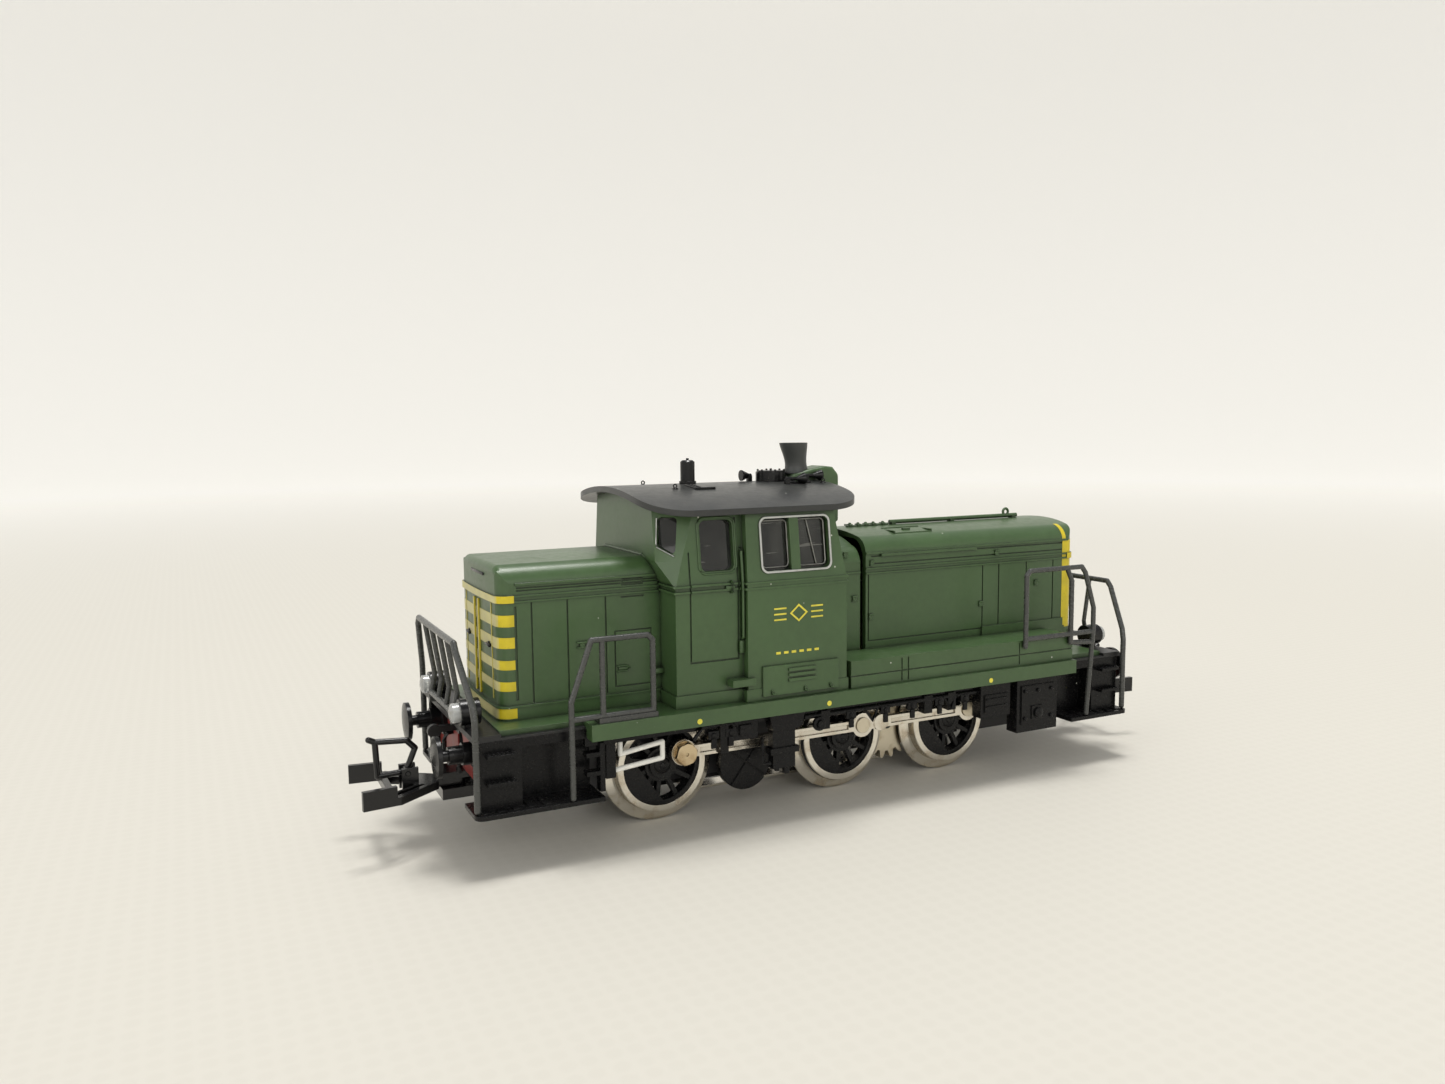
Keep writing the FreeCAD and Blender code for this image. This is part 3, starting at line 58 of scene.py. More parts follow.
# ---- node materials ----------------------------------------------------------------------
class Shader:
    """A node material under construction, with short calls for what is used here."""

    def __init__(self, name):
        self.material = bpy.data.materials.new(name)
        self.material.use_nodes = True
        self.nodes = self.material.node_tree.nodes
        self.links = self.material.node_tree.links
        self.nodes.clear()
        self.place = self.add("ShaderNodeTexCoord").outputs["Object"]
        self.surface = self.add("ShaderNodeBsdfPrincipled")
        out = self.add("ShaderNodeOutputMaterial")
        self.links.new(self.surface.outputs[0], out.inputs["Surface"])

    def add(self, kind, **settings):
        node = self.nodes.new(kind)
        for key, value in settings.items():
            setattr(node, key, value)
        return node

    def feed(self, socket, value):
        if isinstance(value, bpy.types.NodeSocket):
            self.links.new(value, socket)
        else:
            socket.default_value = value

    def set(self, **inputs):
        for key, value in inputs.items():
            self.feed(self.surface.inputs[key.replace("_", " ")], value)

    def noise(self, size_mm, detail=3.0, stretch=(1, 1, 1), where=None):
        node = self.add("ShaderNodeTexNoise")
        place = self.place if where is None else where
        if stretch != (1, 1, 1):
            mapping = self.add("ShaderNodeMapping")
            mapping.inputs["Scale"].default_value = stretch
            self.links.new(place, mapping.inputs["Vector"])
            place = mapping.outputs[0]
        self.links.new(place, node.inputs["Vector"])
        node.inputs["Scale"].default_value = 1.0 / (size_mm * MM)
        node.inputs["Detail"].default_value = detail
        return node.outputs["Fac"]

    def ramp(self, value, start, end, low_to=0.0, high_to=1.0):
        node = self.add("ShaderNodeMapRange")
        node.interpolation_type = "SMOOTHSTEP"
        self.feed(node.inputs["Value"], value)
        for index, number in enumerate((start, end, low_to, high_to), 1):
            node.inputs[index].default_value = number
        return node.outputs["Result"]

    def math(self, operation, a, b=0.0):
        node = self.add("ShaderNodeMath", operation=operation)
        self.feed(node.inputs[0], a)
        self.feed(node.inputs[1], b)
        return node.outputs[0]

    def times(self, *values):
        product = values[0]
        for value in values[1:]:
            product = self.math("MULTIPLY", product, value)
        return product

    def mix(self, factor, a, b):
        node = self.add("ShaderNodeMix", data_type="RGBA")
        self.feed(node.inputs[0], factor)
        self.feed(node.inputs[6], a)
        self.feed(node.inputs[7], b)
        return node.outputs[2]

    def parts_of(self, vector):
        node = self.add("ShaderNodeSeparateXYZ")
        self.links.new(vector, node.inputs[0])
        return node.outputs

    def true_normal(self):
        return self.add("ShaderNodeNewGeometry").outputs["True Normal"]

    def rounded(self, radius_mm):
        """The normal with edges rounded over, and a mask that is 1 on the edges."""
        bevel = self.add("ShaderNodeBevel", samples=4)
        bevel.inputs["Radius"].default_value = radius_mm * MM
        dot = self.add("ShaderNodeVectorMath", operation="DOT_PRODUCT")
        self.links.new(bevel.outputs[0], dot.inputs[0])
        self.links.new(self.true_normal(), dot.inputs[1])
        edge = self.ramp(dot.outputs["Value"], 0.985, 0.80)
        return bevel.outputs[0], edge

    def openness(self, reach_mm):
        """1 in the open, towards 0 in corners and gaps."""
        node = self.add("ShaderNodeAmbientOcclusion", samples=4)
        node.inputs["Distance"].default_value = reach_mm * MM
        return node.outputs["AO"]

    def bump(self, height, depth_mm, strength, normal=None):
        node = self.add("ShaderNodeBump")
        node.inputs["Strength"].default_value = strength
        node.inputs["Distance"].default_value = depth_mm * MM
        self.links.new(height, node.inputs["Height"])
        if normal is not None:
            self.links.new(normal, node.inputs["Normal"])
        self.links.new(node.outputs[0], self.surface.inputs["Normal"])


def shade(colour, factor):
    return tuple(min(1.0, c * factor) for c in colour[:3]) + (1.0,)


def add_specks(shader, colour, cell_mm, share, tint):
    """Small light chips and dust, one in some of the cells of a Voronoi pattern."""
    size = 0.035
    cells = shader.add("ShaderNodeTexVoronoi")
    shader.links.new(shader.place, cells.inputs["Vector"])
    cells.inputs["Scale"].default_value = 1.0 / (cell_mm * MM)
    chosen = shader.ramp(shader.parts_of(cells.outputs["Color"])[0], 1.0 - share, 1.0 - share + 0.01)
    spot = shader.ramp(cells.outputs["Distance"], size * 1.6, size)
    return shader.mix(shader.times(chosen, spot, 0.85), colour, tint)


GRAIN_MM = 0.16
MOTTLE = 0.10
DUST = (0.40, 0.39, 0.34, 1.0)
CHIP = (0.62, 0.63, 0.55, 1.0)
CHIP_SPACING_MM = 2.6
SCRATCH_ROUGHNESS = 0.045


def moulded(name, colour, rough, grain=0.25, edge=None, edge_share=0.35, gap_shade=0.55, dust=0.0,
            specks=0.0, metallic=0.0, gleam=0.5, behind=None):
    """Moulded or painted plastic: tone drift, fine grain, painted shade in gaps, edges lighter from wear
    and painted highlight, chips.

    With behind set, the paint lies on a buffer beam's outer face only, over that colour.
    """
    s = Shader(name)
    drift = s.noise(9.0, 4.0)
    fine = s.noise(0.9, 3.0)
    tone = s.math("ADD", s.times(drift, 0.65), s.times(fine, 0.35))
    tint = s.mix(s.ramp(tone, 0.3, 0.7), shade(colour, 1.0 - MOTTLE), shade(colour, 1.0 + MOTTLE))
    # Darker in gaps and corners found by occlusion: painted shade.
    gaps = s.ramp(s.openness(1.1), 0.35, 0.92)
    tint = s.mix(gaps, shade(colour, 1.0 - gap_shade), tint)
    normal, rim = s.rounded(0.10)
    # Lighter, rougher edges: partly wear, partly painted highlight.
    edge_wear_and_highlight = s.times(rim, gaps, s.ramp(s.noise(1.3, 4.0), 0.46, 0.66), edge_share)
    tint = s.mix(edge_wear_and_highlight, tint, edge or shade(colour, 2.6))
    if dust:
        upward = s.ramp(s.parts_of(s.true_normal())[2], 0.35, 0.95)
        film = s.times(upward, s.ramp(s.noise(3.0, 5.0), 0.35, 0.8), dust)
        tint = s.mix(film, tint, DUST)
    if specks:
        tint = add_specks(s, tint, CHIP_SPACING_MM, specks, CHIP)
    if behind:
        tint = s.mix(beam_face(s), behind, tint)
    scratches = s.ramp(s.noise(1.6, 2.0, stretch=(0.25, 0.25, 3.0)), 0.62, 0.72)
    roughness = s.math("ADD", s.times(fine, 0.16), rough - 0.08)
    roughness = s.math("ADD", roughness, s.times(edge_wear_and_highlight, 0.15))
    roughness = s.math("ADD", roughness, s.times(scratches, SCRATCH_ROUGHNESS))
    s.set(Base_Color=tint, Roughness=roughness, Metallic=metallic, Specular_IOR_Level=gleam)
    s.bump(s.math("ADD", s.noise(GRAIN_MM, 2.0), s.times(drift, 0.6)), 0.02, grain, normal)
    return s.material


def turning_rings(s, centre):
    """Noise in fine rings round an axle that runs across the model through the centre."""
    shift = s.add("ShaderNodeVectorMath", operation="SUBTRACT")
    s.links.new(s.place, shift.inputs[0])
    shift.inputs[1].default_value = [c * MM for c in centre]
    flat = s.add("ShaderNodeVectorMath", operation="MULTIPLY")
    s.links.new(shift.outputs[0], flat.inputs[0])
    flat.inputs[1].default_value = (1, 0, 1)
    radius = s.add("ShaderNodeVectorMath", operation="LENGTH")
    s.links.new(flat.outputs[0], radius.inputs[0])
    ring = s.add("ShaderNodeCombineXYZ")
    s.links.new(radius.outputs["Value"], ring.inputs[0])
    s.links.new(s.parts_of(s.place)[1], ring.inputs[1])
    return s.noise(0.10, 2.0, where=ring.outputs[0])


def plated(name, colour, rough, stain, streak=(1, 1, 1), centre=None):
    """Nickel, steel or brass: turning rings round a centre, or streaks, with stains and fine pits."""
    s = Shader(name)
    lines = turning_rings(s, centre) if centre else s.noise(0.5, 3.0, stretch=streak)
    blotch = s.noise(2.2, 5.0)
    tint = s.mix(s.ramp(blotch, 0.45, 0.75), colour, stain)
    gaps = s.ramp(s.openness(1.2), 0.25, 0.85)
    tint = s.mix(gaps, shade(stain, 0.45), tint)
    normal, rim = s.rounded(0.08)
    # Lighter on all edges: painted highlight.
    tint = s.mix(s.times(rim, 0.35), tint, shade(colour, 1.25))
    roughness = s.math("ADD", s.times(lines, 0.18), rough - 0.09)
    roughness = s.math("ADD", roughness, s.times(s.ramp(blotch, 0.5, 0.8), 0.18))
    s.set(Base_Color=tint, Roughness=roughness, Metallic=1.0)
    s.bump(lines, 0.012, 0.35, normal)
    return s.material


def window_pane(name):
    """Clear plastic over a dark inside, coloured nearly black as painted shade: glossy, with a film,
    smears and fine scratches.
    """
    s = Shader(name)
    smear = s.ramp(s.noise(4.0, 4.0, stretch=(1.0, 1.0, 0.5)), 0.4, 0.8)
    hair = s.ramp(s.noise(1.2, 2.0, stretch=(0.2, 0.2, 2.0)), 0.66, 0.72)
    # The dark tint is painted shade of the cab behind the pane.
    tint = s.mix(smear, (0.014, 0.015, 0.014, 1), (0.060, 0.062, 0.055, 1))
    tint = s.mix(s.times(hair, 0.6), tint, (0.22, 0.22, 0.20, 1))
    s.set(Base_Color=tint, Roughness=s.ramp(smear, 0.0, 1.0, 0.07, 0.22), IOR=1.49)
    s.set(Transmission_Weight=0.25, Alpha=0.96)
    s.bump(s.noise(3.5, 2.0), 0.05, 0.25)
    return s.material


def clear_lens(name):
    """Clear plastic given a pale, partly opaque colour as a painted reflection, with a slight cloud."""
    s = Shader(name)
    cloud = s.ramp(s.noise(0.8, 4.0), 0.45, 0.8)
    # The pale base colour with partial transmission is a painted reflection that makes the lens look
    # bright.
    tint = s.mix(cloud, (0.93, 0.95, 0.94, 1), (0.75, 0.74, 0.68, 1))
    s.set(Base_Color=tint, Roughness=s.ramp(cloud, 0, 1, 0.03, 0.12), IOR=1.49)
    s.set(Transmission_Weight=0.62)
    s.bump(s.noise(1.4, 1.0), 0.03, 0.15)
    return s.material


def printed(name, colour, worn_to, cover=0.86, front=None):
    """Printed paint that has thinned and chipped, with the plastic below showing through."""
    s = Shader(name)
    thin = s.ramp(s.noise(0.35, 5.0), cover - 0.22, cover)
    patch = s.ramp(s.noise(2.4, 4.0), 0.3, 0.75)
    tint = s.mix(patch, shade(colour, 0.86), shade(colour, 1.08))
    # Faces that look along X, the fronts of the noses, get a paler yellow: painted glare.
    if front:
        along = s.math("ABSOLUTE", s.parts_of(s.true_normal())[0])
        tint = s.mix(s.ramp(along, 0.80, 0.97), tint, s.mix(patch, shade(front, 0.8), front))
    tint = s.mix(s.times(thin, 0.8), tint, worn_to)
    # Darker, towards the green below, in gaps and corners found by occlusion: painted shade.
    gaps = s.ramp(s.openness(0.5), 0.3, 0.9)
    tint = s.mix(gaps, shade(worn_to, 0.5), tint)
    s.set(Base_Color=tint, Roughness=s.ramp(patch, 0, 1, 0.38, 0.52))
    s.bump(s.noise(0.2, 3.0), 0.015, 0.3)
    return s.material


BEAM_FACE_X = 53.8
HOOK_X = 54.2
PLATFORM_Z = 17.15


def beam_face(shader):
    """1 on the outer face of a buffer beam, 0 on its back, on the platform above and on the hook."""
    x, _, z = shader.parts_of(shader.place)
    outward = shader.math("ABSOLUTE", x)
    face = shader.math("GREATER_THAN", outward, BEAM_FACE_X * MM)
    face = shader.math("SUBTRACT", face, shader.math("GREATER_THAN", z, PLATFORM_Z * MM))
    face = shader.math("SUBTRACT", face, shader.math("GREATER_THAN", outward, HOOK_X * MM))
    return shader.math("MAXIMUM", face, 0.0)


GREEN = (0.046, 0.090, 0.031, 1.0)
BLACK = (0.0055, 0.0055, 0.0058, 1.0)
YELLOW = (0.60, 0.48, 0.012, 1.0)
GLARE_YELLOW = (0.60, 0.55, 0.25, 1.0)
NICKEL = (0.70, 0.66, 0.58, 1.0)
NICKEL_STAIN = (0.50, 0.43, 0.33, 1.0)
TYRE = (0.72, 0.68, 0.60, 1.0)


def make_materials():
    m = {}
    m["green"] = moulded("bottle_green", GREEN, 0.33, gap_shade=0.78, dust=0.04, specks=0.16, edge_share=0.7)
    m["deck"] = moulded("deck_green", shade(GREEN, 0.95), 0.36, gap_shade=0.65, dust=0.04, specks=0.40,
                        edge=(0.22, 0.28, 0.18, 1), edge_share=0.8)
    m["roof"] = moulded("roof_grey", (0.022, 0.0235, 0.0225, 1), 0.33, dust=0.05, specks=0.12,
                        grain=0.35, edge=(0.09, 0.095, 0.09, 1))
    m["chimney"] = moulded("chimney_grey", (0.040, 0.043, 0.041, 1), 0.45, grain=0.4)
    m["black"] = moulded("black_plastic", BLACK, 0.27, edge=(0.06, 0.06, 0.062, 1), dust=0.015,
                         specks=0.08, gleam=0.20)
    m["fittings"] = moulded("black_fittings", BLACK, 0.24, edge=(0.09, 0.09, 0.09, 1), gleam=0.30)
    m["coupler"] = moulded("coupler_black", BLACK, 0.22, edge=(0.14, 0.14, 0.135, 1), edge_share=0.7,
                           gleam=0.42)
    m["wheel"] = moulded("wheel_black", BLACK, 0.27, edge=(0.06, 0.06, 0.06, 1), dust=0.015, gleam=0.24)
    m["rail"] = moulded("railing_grey", (0.046, 0.048, 0.045, 1), 0.27, edge=(0.15, 0.155, 0.145, 1),
                        gap_shade=0.4)
    m["red"] = moulded("beam_red", (0.22, 0.028, 0.024, 1), 0.40, gap_shade=0.75, behind=BLACK)
    m["white"] = moulded("pipe_white", (0.84, 0.83, 0.78, 1), 0.26, gap_shade=0.5, edge=(0.88, 0.88, 0.85, 1))
    m["nickel"] = plated("nickel_bar", NICKEL, 0.22, NICKEL_STAIN, streak=(0.2, 1, 1))
    m["steel"] = plated("turned_steel", (0.46, 0.45, 0.43, 1), 0.28, (0.30, 0.27, 0.22, 1))
    m["brass"] = plated("screw_brass", (0.60, 0.48, 0.31, 1), 0.20, (0.34, 0.24, 0.13, 1))
    m["gear"] = plated("gear_metal", (0.62, 0.56, 0.44, 1), 0.38, (0.40, 0.33, 0.22, 1))
    m["silver"] = plated("silver_print", (0.50, 0.51, 0.49, 1), 0.36, (0.30, 0.31, 0.29, 1))
    m["dull_frame"] = plated("dull_frame", (0.30, 0.30, 0.28, 1), 0.45, (0.18, 0.18, 0.16, 1))
    m["casting"] = moulded("frame_casting", (0.020, 0.020, 0.021, 1), 0.55, grain=0.6, metallic=0.3,
                           edge=(0.25, 0.25, 0.25, 1))
    m["carbon"] = moulded("carbon", (0.02, 0.02, 0.02, 1), 0.7)
    m["rubber"] = moulded("tyre_rubber", (0.015, 0.015, 0.015, 1), 0.8)
    m["shield"] = moulded("motor_shield", (0.055, 0.030, 0.018, 1), 0.5)
    m["pane"] = window_pane("window_pane")
    m["lens"] = clear_lens("lamp_lens")
    m["yellow"] = printed("yellow_print", YELLOW, GREEN, front=GLARE_YELLOW)
    m["mark"] = printed("yellow_mark", (0.70, 0.62, 0.06, 1), GREEN, cover=0.95)
    return m


def tyre_material(wheelset, centre_x):
    """Nickel with turning rings round the wheelset's own axle."""
    return plated("nickel_" + wheelset, TYRE, 0.19, NICKEL_STAIN, centre=(centre_x, 0, AXLE_Z))


MATERIAL_OF = {
    "green": ("short_bonnet", "bonnet_neck", "long_bonnet", "cab_shell", "exhaust_duct"),
    "deck": ("running_board", "equipment_boxes"),
    "roof": ("cab_roof",),
    "chimney": ("chimney",),
    "black": ("side_frames", "corner_steps", "jackshaft_discs", "base_plate"),
    "fittings": ("buffers", "lamp_housings", "roof_stack", "roof_ventilator", "horns"),
    "coupler": ("coupler_head_short_end", "coupler_head_long_end", "coupler_bail_short_end",
                "coupler_bail_long_end", "coupler_pockets"),
    "wheel": ("wheel_centres_short_end", "wheel_centres_middle", "wheel_centres_long_end"),
    "rail": ("end_railing_short_end", "end_railing_long_end", "handrails_short_bonnet",
             "handrails_long_bonnet"),
    "red": ("buffer_beam_short_end", "buffer_beam_long_end"),
    "white": ("rail_guard_pipes",),
    "nickel": ("coupling_rod_left", "coupling_rod_right", "pickup_shoe"),
    "steel": ("axle_short_end", "axle_middle", "axle_long_end", "armature_shaft", "armature_core",
              "body_screw", "field_magnet", "reversing_relay"),
    "brass": ("crank_pins_short_end",),
    "gear": ("idler_gear", "reduction_gear", "crank_pins_middle", "crank_pins_long_end"),
    "silver": ("bay_window_frames",),
    "casting": ("chassis_frame",),
    "carbon": ("carbon_brushes",),
    "rubber": ("traction_tyres_middle",),
    "shield": ("motor_shield",),
    "pane": ("cab_glazing",),
    "lens": ("lamp_lenses", "light_bulbs"),
}


def dress(node, material):
    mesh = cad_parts[node].data
    mesh.materials.clear()
    mesh.materials.append(material)


AXLE_Z = high("tyres_middle")[2] / 2
WHEELSETS = ("short_end", "middle", "long_end")
MATERIALS = make_materials()


def wheel_x(wheelset):
    node = "tyres_" + wheelset
    return (low(node)[0] + high(node)[0]) / 2


def dress_frame():
    for key, nodes in MATERIAL_OF.items():
        for node in nodes:
            dress(node, MATERIALS[key])
    for wheelset in WHEELSETS:
        dress("tyres_" + wheelset, tyre_material(wheelset, wheel_x(wheelset)))


# ---- small pieces in mesh code -----------------------------------------------------------
SHARP_DEGREES = 38


class Piece:
    """One mesh in millimetres, gathered from bevelled bars, round wires, bands and lathed parts."""

    def __init__(self, name, material, slot, body=BODY):
        self.name = name
        self.body = body
        self.material = MATERIALS[material]
        self.slot = slot
        self.bm = bmesh.new()

    def bar(self, x0, x1, y0, y1, z0, z1, bevel=0.08):
        """A straight bar between the limits, with its edges bevelled."""
        made = bmesh.ops.create_cube(self.bm, size=1.0)["verts"]
        for v in made:
            v.co.x = (x0 + x1) / 2 + v.co.x * (x1 - x0)
            v.co.y = (y0 + y1) / 2 + v.co.y * (y1 - y0)
            v.co.z = (z0 + z1) / 2 + v.co.z * (z1 - z0)
        edges = list(dict.fromkeys(edge for v in made for edge in v.link_edges))
        offset = min(bevel, 0.3 * min(x1 - x0, y1 - y0, z1 - z0))
        bmesh.ops.bevel(self.bm, geom=edges, offset=offset, segments=2, profile=0.5, affect="EDGES")

    def skin(self, rings, closed=False):
        """Quads between rings of points, with end caps unless the rings close on themselves."""
        rows = [[self.bm.verts.new(point) for point in ring] for ring in rings]
        count = len(rows[0])
        pairs = list(zip(rows[:-1], rows[1:]))
        if closed:
            pairs.append((rows[-1], rows[0]))
        for near, far in pairs:
            for i in range(count):
                j = (i + 1) % count
                self.bm.faces.new((near[i], near[j], far[j], far[i]))
        if not closed:
            self.bm.faces.new(list(reversed(rows[0])))
            self.bm.faces.new(rows[-1])

    def wire(self, points, radius, closed=False, sides=10):
        """A round wire through the points, mitred at the bends."""
        path = [Vector(point) for point in points]
        rings = []
        for index, point in enumerate(path):
            before = path[index - 1] if index or closed else point
            after = path[(index + 1) % len(path)] if index + 1 < len(path) or closed else point
            along = ((point - before).normalized() + (after - point).normalized()).normalized()
            guide = Vector((0, 0, 1)) if abs(along.z) < 0.8 else Vector((0, 1, 0))
            right = along.cross(guide).normalized()
            up = right.cross(along)
            turns = [2 * math.pi * k / sides for k in range(sides)]
            rings.append([point + (right * math.cos(t) + up * math.sin(t)) * radius for t in turns])
        self.skin(rings, closed)

    def lathe(self, centre, axis, profile, sides=24):
        """A turned part: profile holds (distance along the axis, radius)."""
        centre = Vector(centre)
        axis = Vector(axis).normalized()
        guide = Vector((0, 0, 1)) if abs(axis.z) < 0.8 else Vector((1, 0, 0))
        right = axis.cross(guide).normalized()
        up = right.cross(axis)
        turns = [2 * math.pi * k / sides for k in range(sides)]
        rings = []
        for along, radius in profile:
            spot = centre + axis * along
            rings.append([spot + (right * math.cos(t) + up * math.sin(t)) * radius for t in turns])
        self.skin(rings)

    def band(self, outline, inner, z0, z1):
        """A thin band that stands on the plan outline, from the inner to the outer points."""
        rings = []
        for (x, y), (u, v) in zip(outline, inner):
            rings.append([(u, v, z0), (x, y, z0 + 0.02), (x, y, z1 - 0.02), (u, v, z1)])
        self.skin(rings)

    def both_sides(self):
        """Mirror everything so far to the right side."""
        whole = self.bm.verts[:] + self.bm.edges[:] + self.bm.faces[:]
        made = bmesh.ops.duplicate(self.bm, geom=whole)["geom"]
        for item in made:
            if isinstance(item, bmesh.types.BMVert):
                item.co.y = -item.co.y
        bmesh.ops.reverse_faces(self.bm, faces=[f for f in made if isinstance(f, bmesh.types.BMFace)])

    def done(self):
        """Finish the mesh and let it ride on its body."""
        bmesh.ops.recalc_face_normals(self.bm, faces=self.bm.faces[:])
        bmesh.ops.scale(self.bm, vec=(MM, MM, MM), verts=self.bm.verts[:])
        mesh = bpy.data.meshes.new(self.name)
        self.bm.to_mesh(mesh)
        self.bm.free()
        for face in mesh.polygons:
            face.use_smooth = True
        mesh.set_sharp_from_angle(angle=math.radians(SHARP_DEGREES))
        mesh.materials.append(self.material)
        made = bpy.data.objects.new(self.name, mesh)
        bpy.context.collection.objects.link(made)
        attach(made, self.body)


def arc(a, bend, b, count):
    """Points from a to b on the circle through bend, without a itself."""
    ax, ay = a[0] - b[0], a[1] - b[1]
    bx, by = bend[0] - b[0], bend[1] - b[1]
    turn = 2 * (ax * by - ay * bx)
    aa, bb = ax * ax + ay * ay, bx * bx + by * by
    cx = b[0] + (by * aa - ay * bb) / turn
    cy = b[1] + (ax * bb - bx * aa) / turn
    radius = math.hypot(a[0] - cx, a[1] - cy)
    start = math.atan2(a[1] - cy, a[0] - cx)
    sweep = (math.atan2(b[1] - cy, b[0] - cx) - start + math.pi) % (2 * math.pi) - math.pi
    angles = [start + sweep * k / count for k in range(1, count + 1)]
    return [(cx + radius * math.cos(t), cy + radius * math.sin(t)) for t in angles]


BONNET_HALF = 10.0
NOSE_CORNER = 2.0
NOSES = {-1: (-low("short_bonnet")[0], 0.25), 1: (high("long_bonnet")[0], 1.1)}
NOSE_RIB = 0.45
NOSE_SLOT_Y = -0.55


def nose_outline(end, grow, reach):
    """Plan of a bonnet's nose, grown outwards, from the left flank at reach round to the right."""
    tip, bulge = NOSES[end]
    front = tip - NOSE_RIB + grow
    half = BONNET_HALF + grow
    start = (front - bulge - NOSE_CORNER, -half)
    bend = (front - bulge - NOSE_CORNER * 0.32, -half + NOSE_CORNER * 0.2)
    near = (front - bulge, -half + NOSE_CORNER * 0.75)
    left = [(reach, -half), start] + arc(start, bend, near, 8)
    face = arc(near, (front, 0), (near[0], -near[1]), 24)
    right = [(x, -y) for x, y in reversed(left[:-1])]
    return [(end * x, y) for x, y in left + face + right]


def nose_x(end, y, grow=0.0):
    """Distance of the nose's front from the middle at y, signed for its end."""
    tip, bulge = NOSES[end]
    half = BONNET_HALF - NOSE_CORNER * 0.75
    return end * (tip - NOSE_RIB + grow - bulge * (y / half) ** 2)


# Each stripe's lower and upper height, and how far it stands off the nose.
STRIPES = ((18.45, 19.85, 0.33), (22.1, 23.4, 0.04), (25.0, 26.3, 0.04), (27.9, 29.4, 0.04),
           (30.8, 32.4, 0.04), (34.0, 35.0, 0.24))
LONG_END_TOP_STRIPE = (35.6, 37.2, 0.04)
STRIPE_REACH = 48.6        # distance from the middle at which the stripes end on the flanks
SUNK = -0.05               # how deep the back of thin print lies in the wall below


def nose_stripes(end, name):
    """The yellow stripes round a nose; the long end has one more on top."""
    piece = Piece(name, "yellow", "green_plastic")
    stripes = STRIPES + (LONG_END_TOP_STRIPE,) if end > 0 else STRIPES
    for z0, z1, grow in stripes:
        outer = nose_outline(end, grow, STRIPE_REACH)
        piece.band(outer, nose_outline(end, SUNK, STRIPE_REACH), z0, z1)
    piece.done()


RIB_Y = (-1.1, 1.1)
HINGE_Y = (-6.9, 6.9)
NOSE_HANDLE_Y = (5.3, -5.7)
NOSE_HANDLE_Z = 28.0


def nose_ribs(end, name):
    """Two upright ribs in the middle of the nose, and a hinge line out towards each corner."""
    piece = Piece(name, "yellow", "green_plastic")
    for y in RIB_Y:
        near, far = sorted((nose_x(end, y, -0.3), nose_x(end, y, 0.30)))
        piece.bar(near, far, y - 0.22, y + 0.22, 20.4, 33.7)
    for y in HINGE_Y:
        near, far = sorted((nose_x(end, y, -0.3), nose_x(end, y, 0.10)))
        piece.bar(near, far, y - 0.12, y + 0.12, 20.8, 33.9, 0.04)
    piece.done()


def nose_handles(end, name):
    """Two round door handles, the slot above the stripes and the bar between the doors."""
    piece = Piece(name, "fittings", "black_plastic")
    boss = ((0, 0.45), (0.3, 0.42), (0.36, 0.3))
    for y in NOSE_HANDLE_Y:
        near, far = sorted((nose_x(end, y, -0.2), nose_x(end, y, 0.42)))
        piece.lathe((nose_x(end, y, -0.1), y, NOSE_HANDLE_Z), (end, 0, 0), boss)
        piece.bar(near, far, y - 0.9, y + 0.9, NOSE_HANDLE_Z - 0.2, NOSE_HANDLE_Z + 0.2)
    near, far = sorted((nose_x(end, NOSE_SLOT_Y, -0.3), nose_x(end, NOSE_SLOT_Y, 0.12)))
    piece.bar(near, far, -3.9, 2.8, 37.2, 37.55, 0.05)
    piece.bar(near, far, -0.12, 0.12, 20.6, 33.6, 0.05)
    piece.done()


NOSE_EDGE_X = 47.4


def nose_corner_edges():
    """The yellow edge that frames the long bonnet's nose on both flanks."""
    piece = Piece("nose_edge_long_end", "yellow", "green_plastic")
    outline = nose_outline(1, 0.045, NOSE_EDGE_X)
    inner = nose_outline(1, SUNK, NOSE_EDGE_X)
    piece.band(outline[:10], inner[:10], 22.4, 37.2)
    piece.both_sides()
    piece.done()


# ---- latches and handles on the bonnets --------------------------------------------------
def latch(piece, x, z, y=-BONNET_HALF, wide=0.75):
    """A small door latch: round boss, handle bar and keep."""
    piece.lathe((x, y + 0.1, z), (0, -1, 0), ((0, 0.42), (0.26, 0.40), (0.34, 0.30)), 16)
    piece.bar(x - wide, x + wide, y - 0.36, y - 0.04, z + 0.22, z + 0.46)
    piece.bar(x - wide, x + wide, y - 0.30, y - 0.04, z - 0.46, z - 0.24)


LATCHES = ((8.3, 35.7), (8.1, 27.3), (29.8, 27.6), (41.6, 30.3), (33.0, 35.9))
NECK_LATCHES = ((5.4, 30.3), (3.7, 37.3))
PULL_LOOP = ((-34.2, 23.25), (-32.7, 23.25), (-32.3, 23.6), (-32.7, 23.95), (-34.2, 23.95))


def bonnet_latches():
    """The door latches on both bonnets, and the pull and the hinge block on the short one."""
    piece = Piece("bonnet_latches", "green", "green_plastic")
    latch(piece, -39.2, 27.5, wide=0.8)
    for x, z in LATCHES:
        latch(piece, x, z, wide=0.4)
    for x, z in NECK_LATCHES:
        latch(piece, x, z, y=-BONNET_HALF + 0.5, wide=0.5)
    piece.wire([(x, -BONNET_HALF - 0.12, z) for x, z in PULL_LOOP], 0.14)
    piece.bar(-34.0, -32.6, -10.2, -9.95, 23.4, 23.8)
    piece.bar(-28.9, -27.4, -11.2, -9.9, 22.5, 23.2)
    piece.both_sides()
    piece.done()


def crown_z(y, edge_z, crown):
    """Height of a bonnet's low crown at y."""
    half = BONNET_HALF - 2.4
    return crown - (crown - edge_z) * (y / half) ** 2


HATCH_X = (14.4, 21.8)
HATCH_Y = (3.6, 7.4)
HATCH_LINE = 0.2
RIDGE_FIXINGS = (10.4, 12.0, 13.5, 15.0, 16.9)


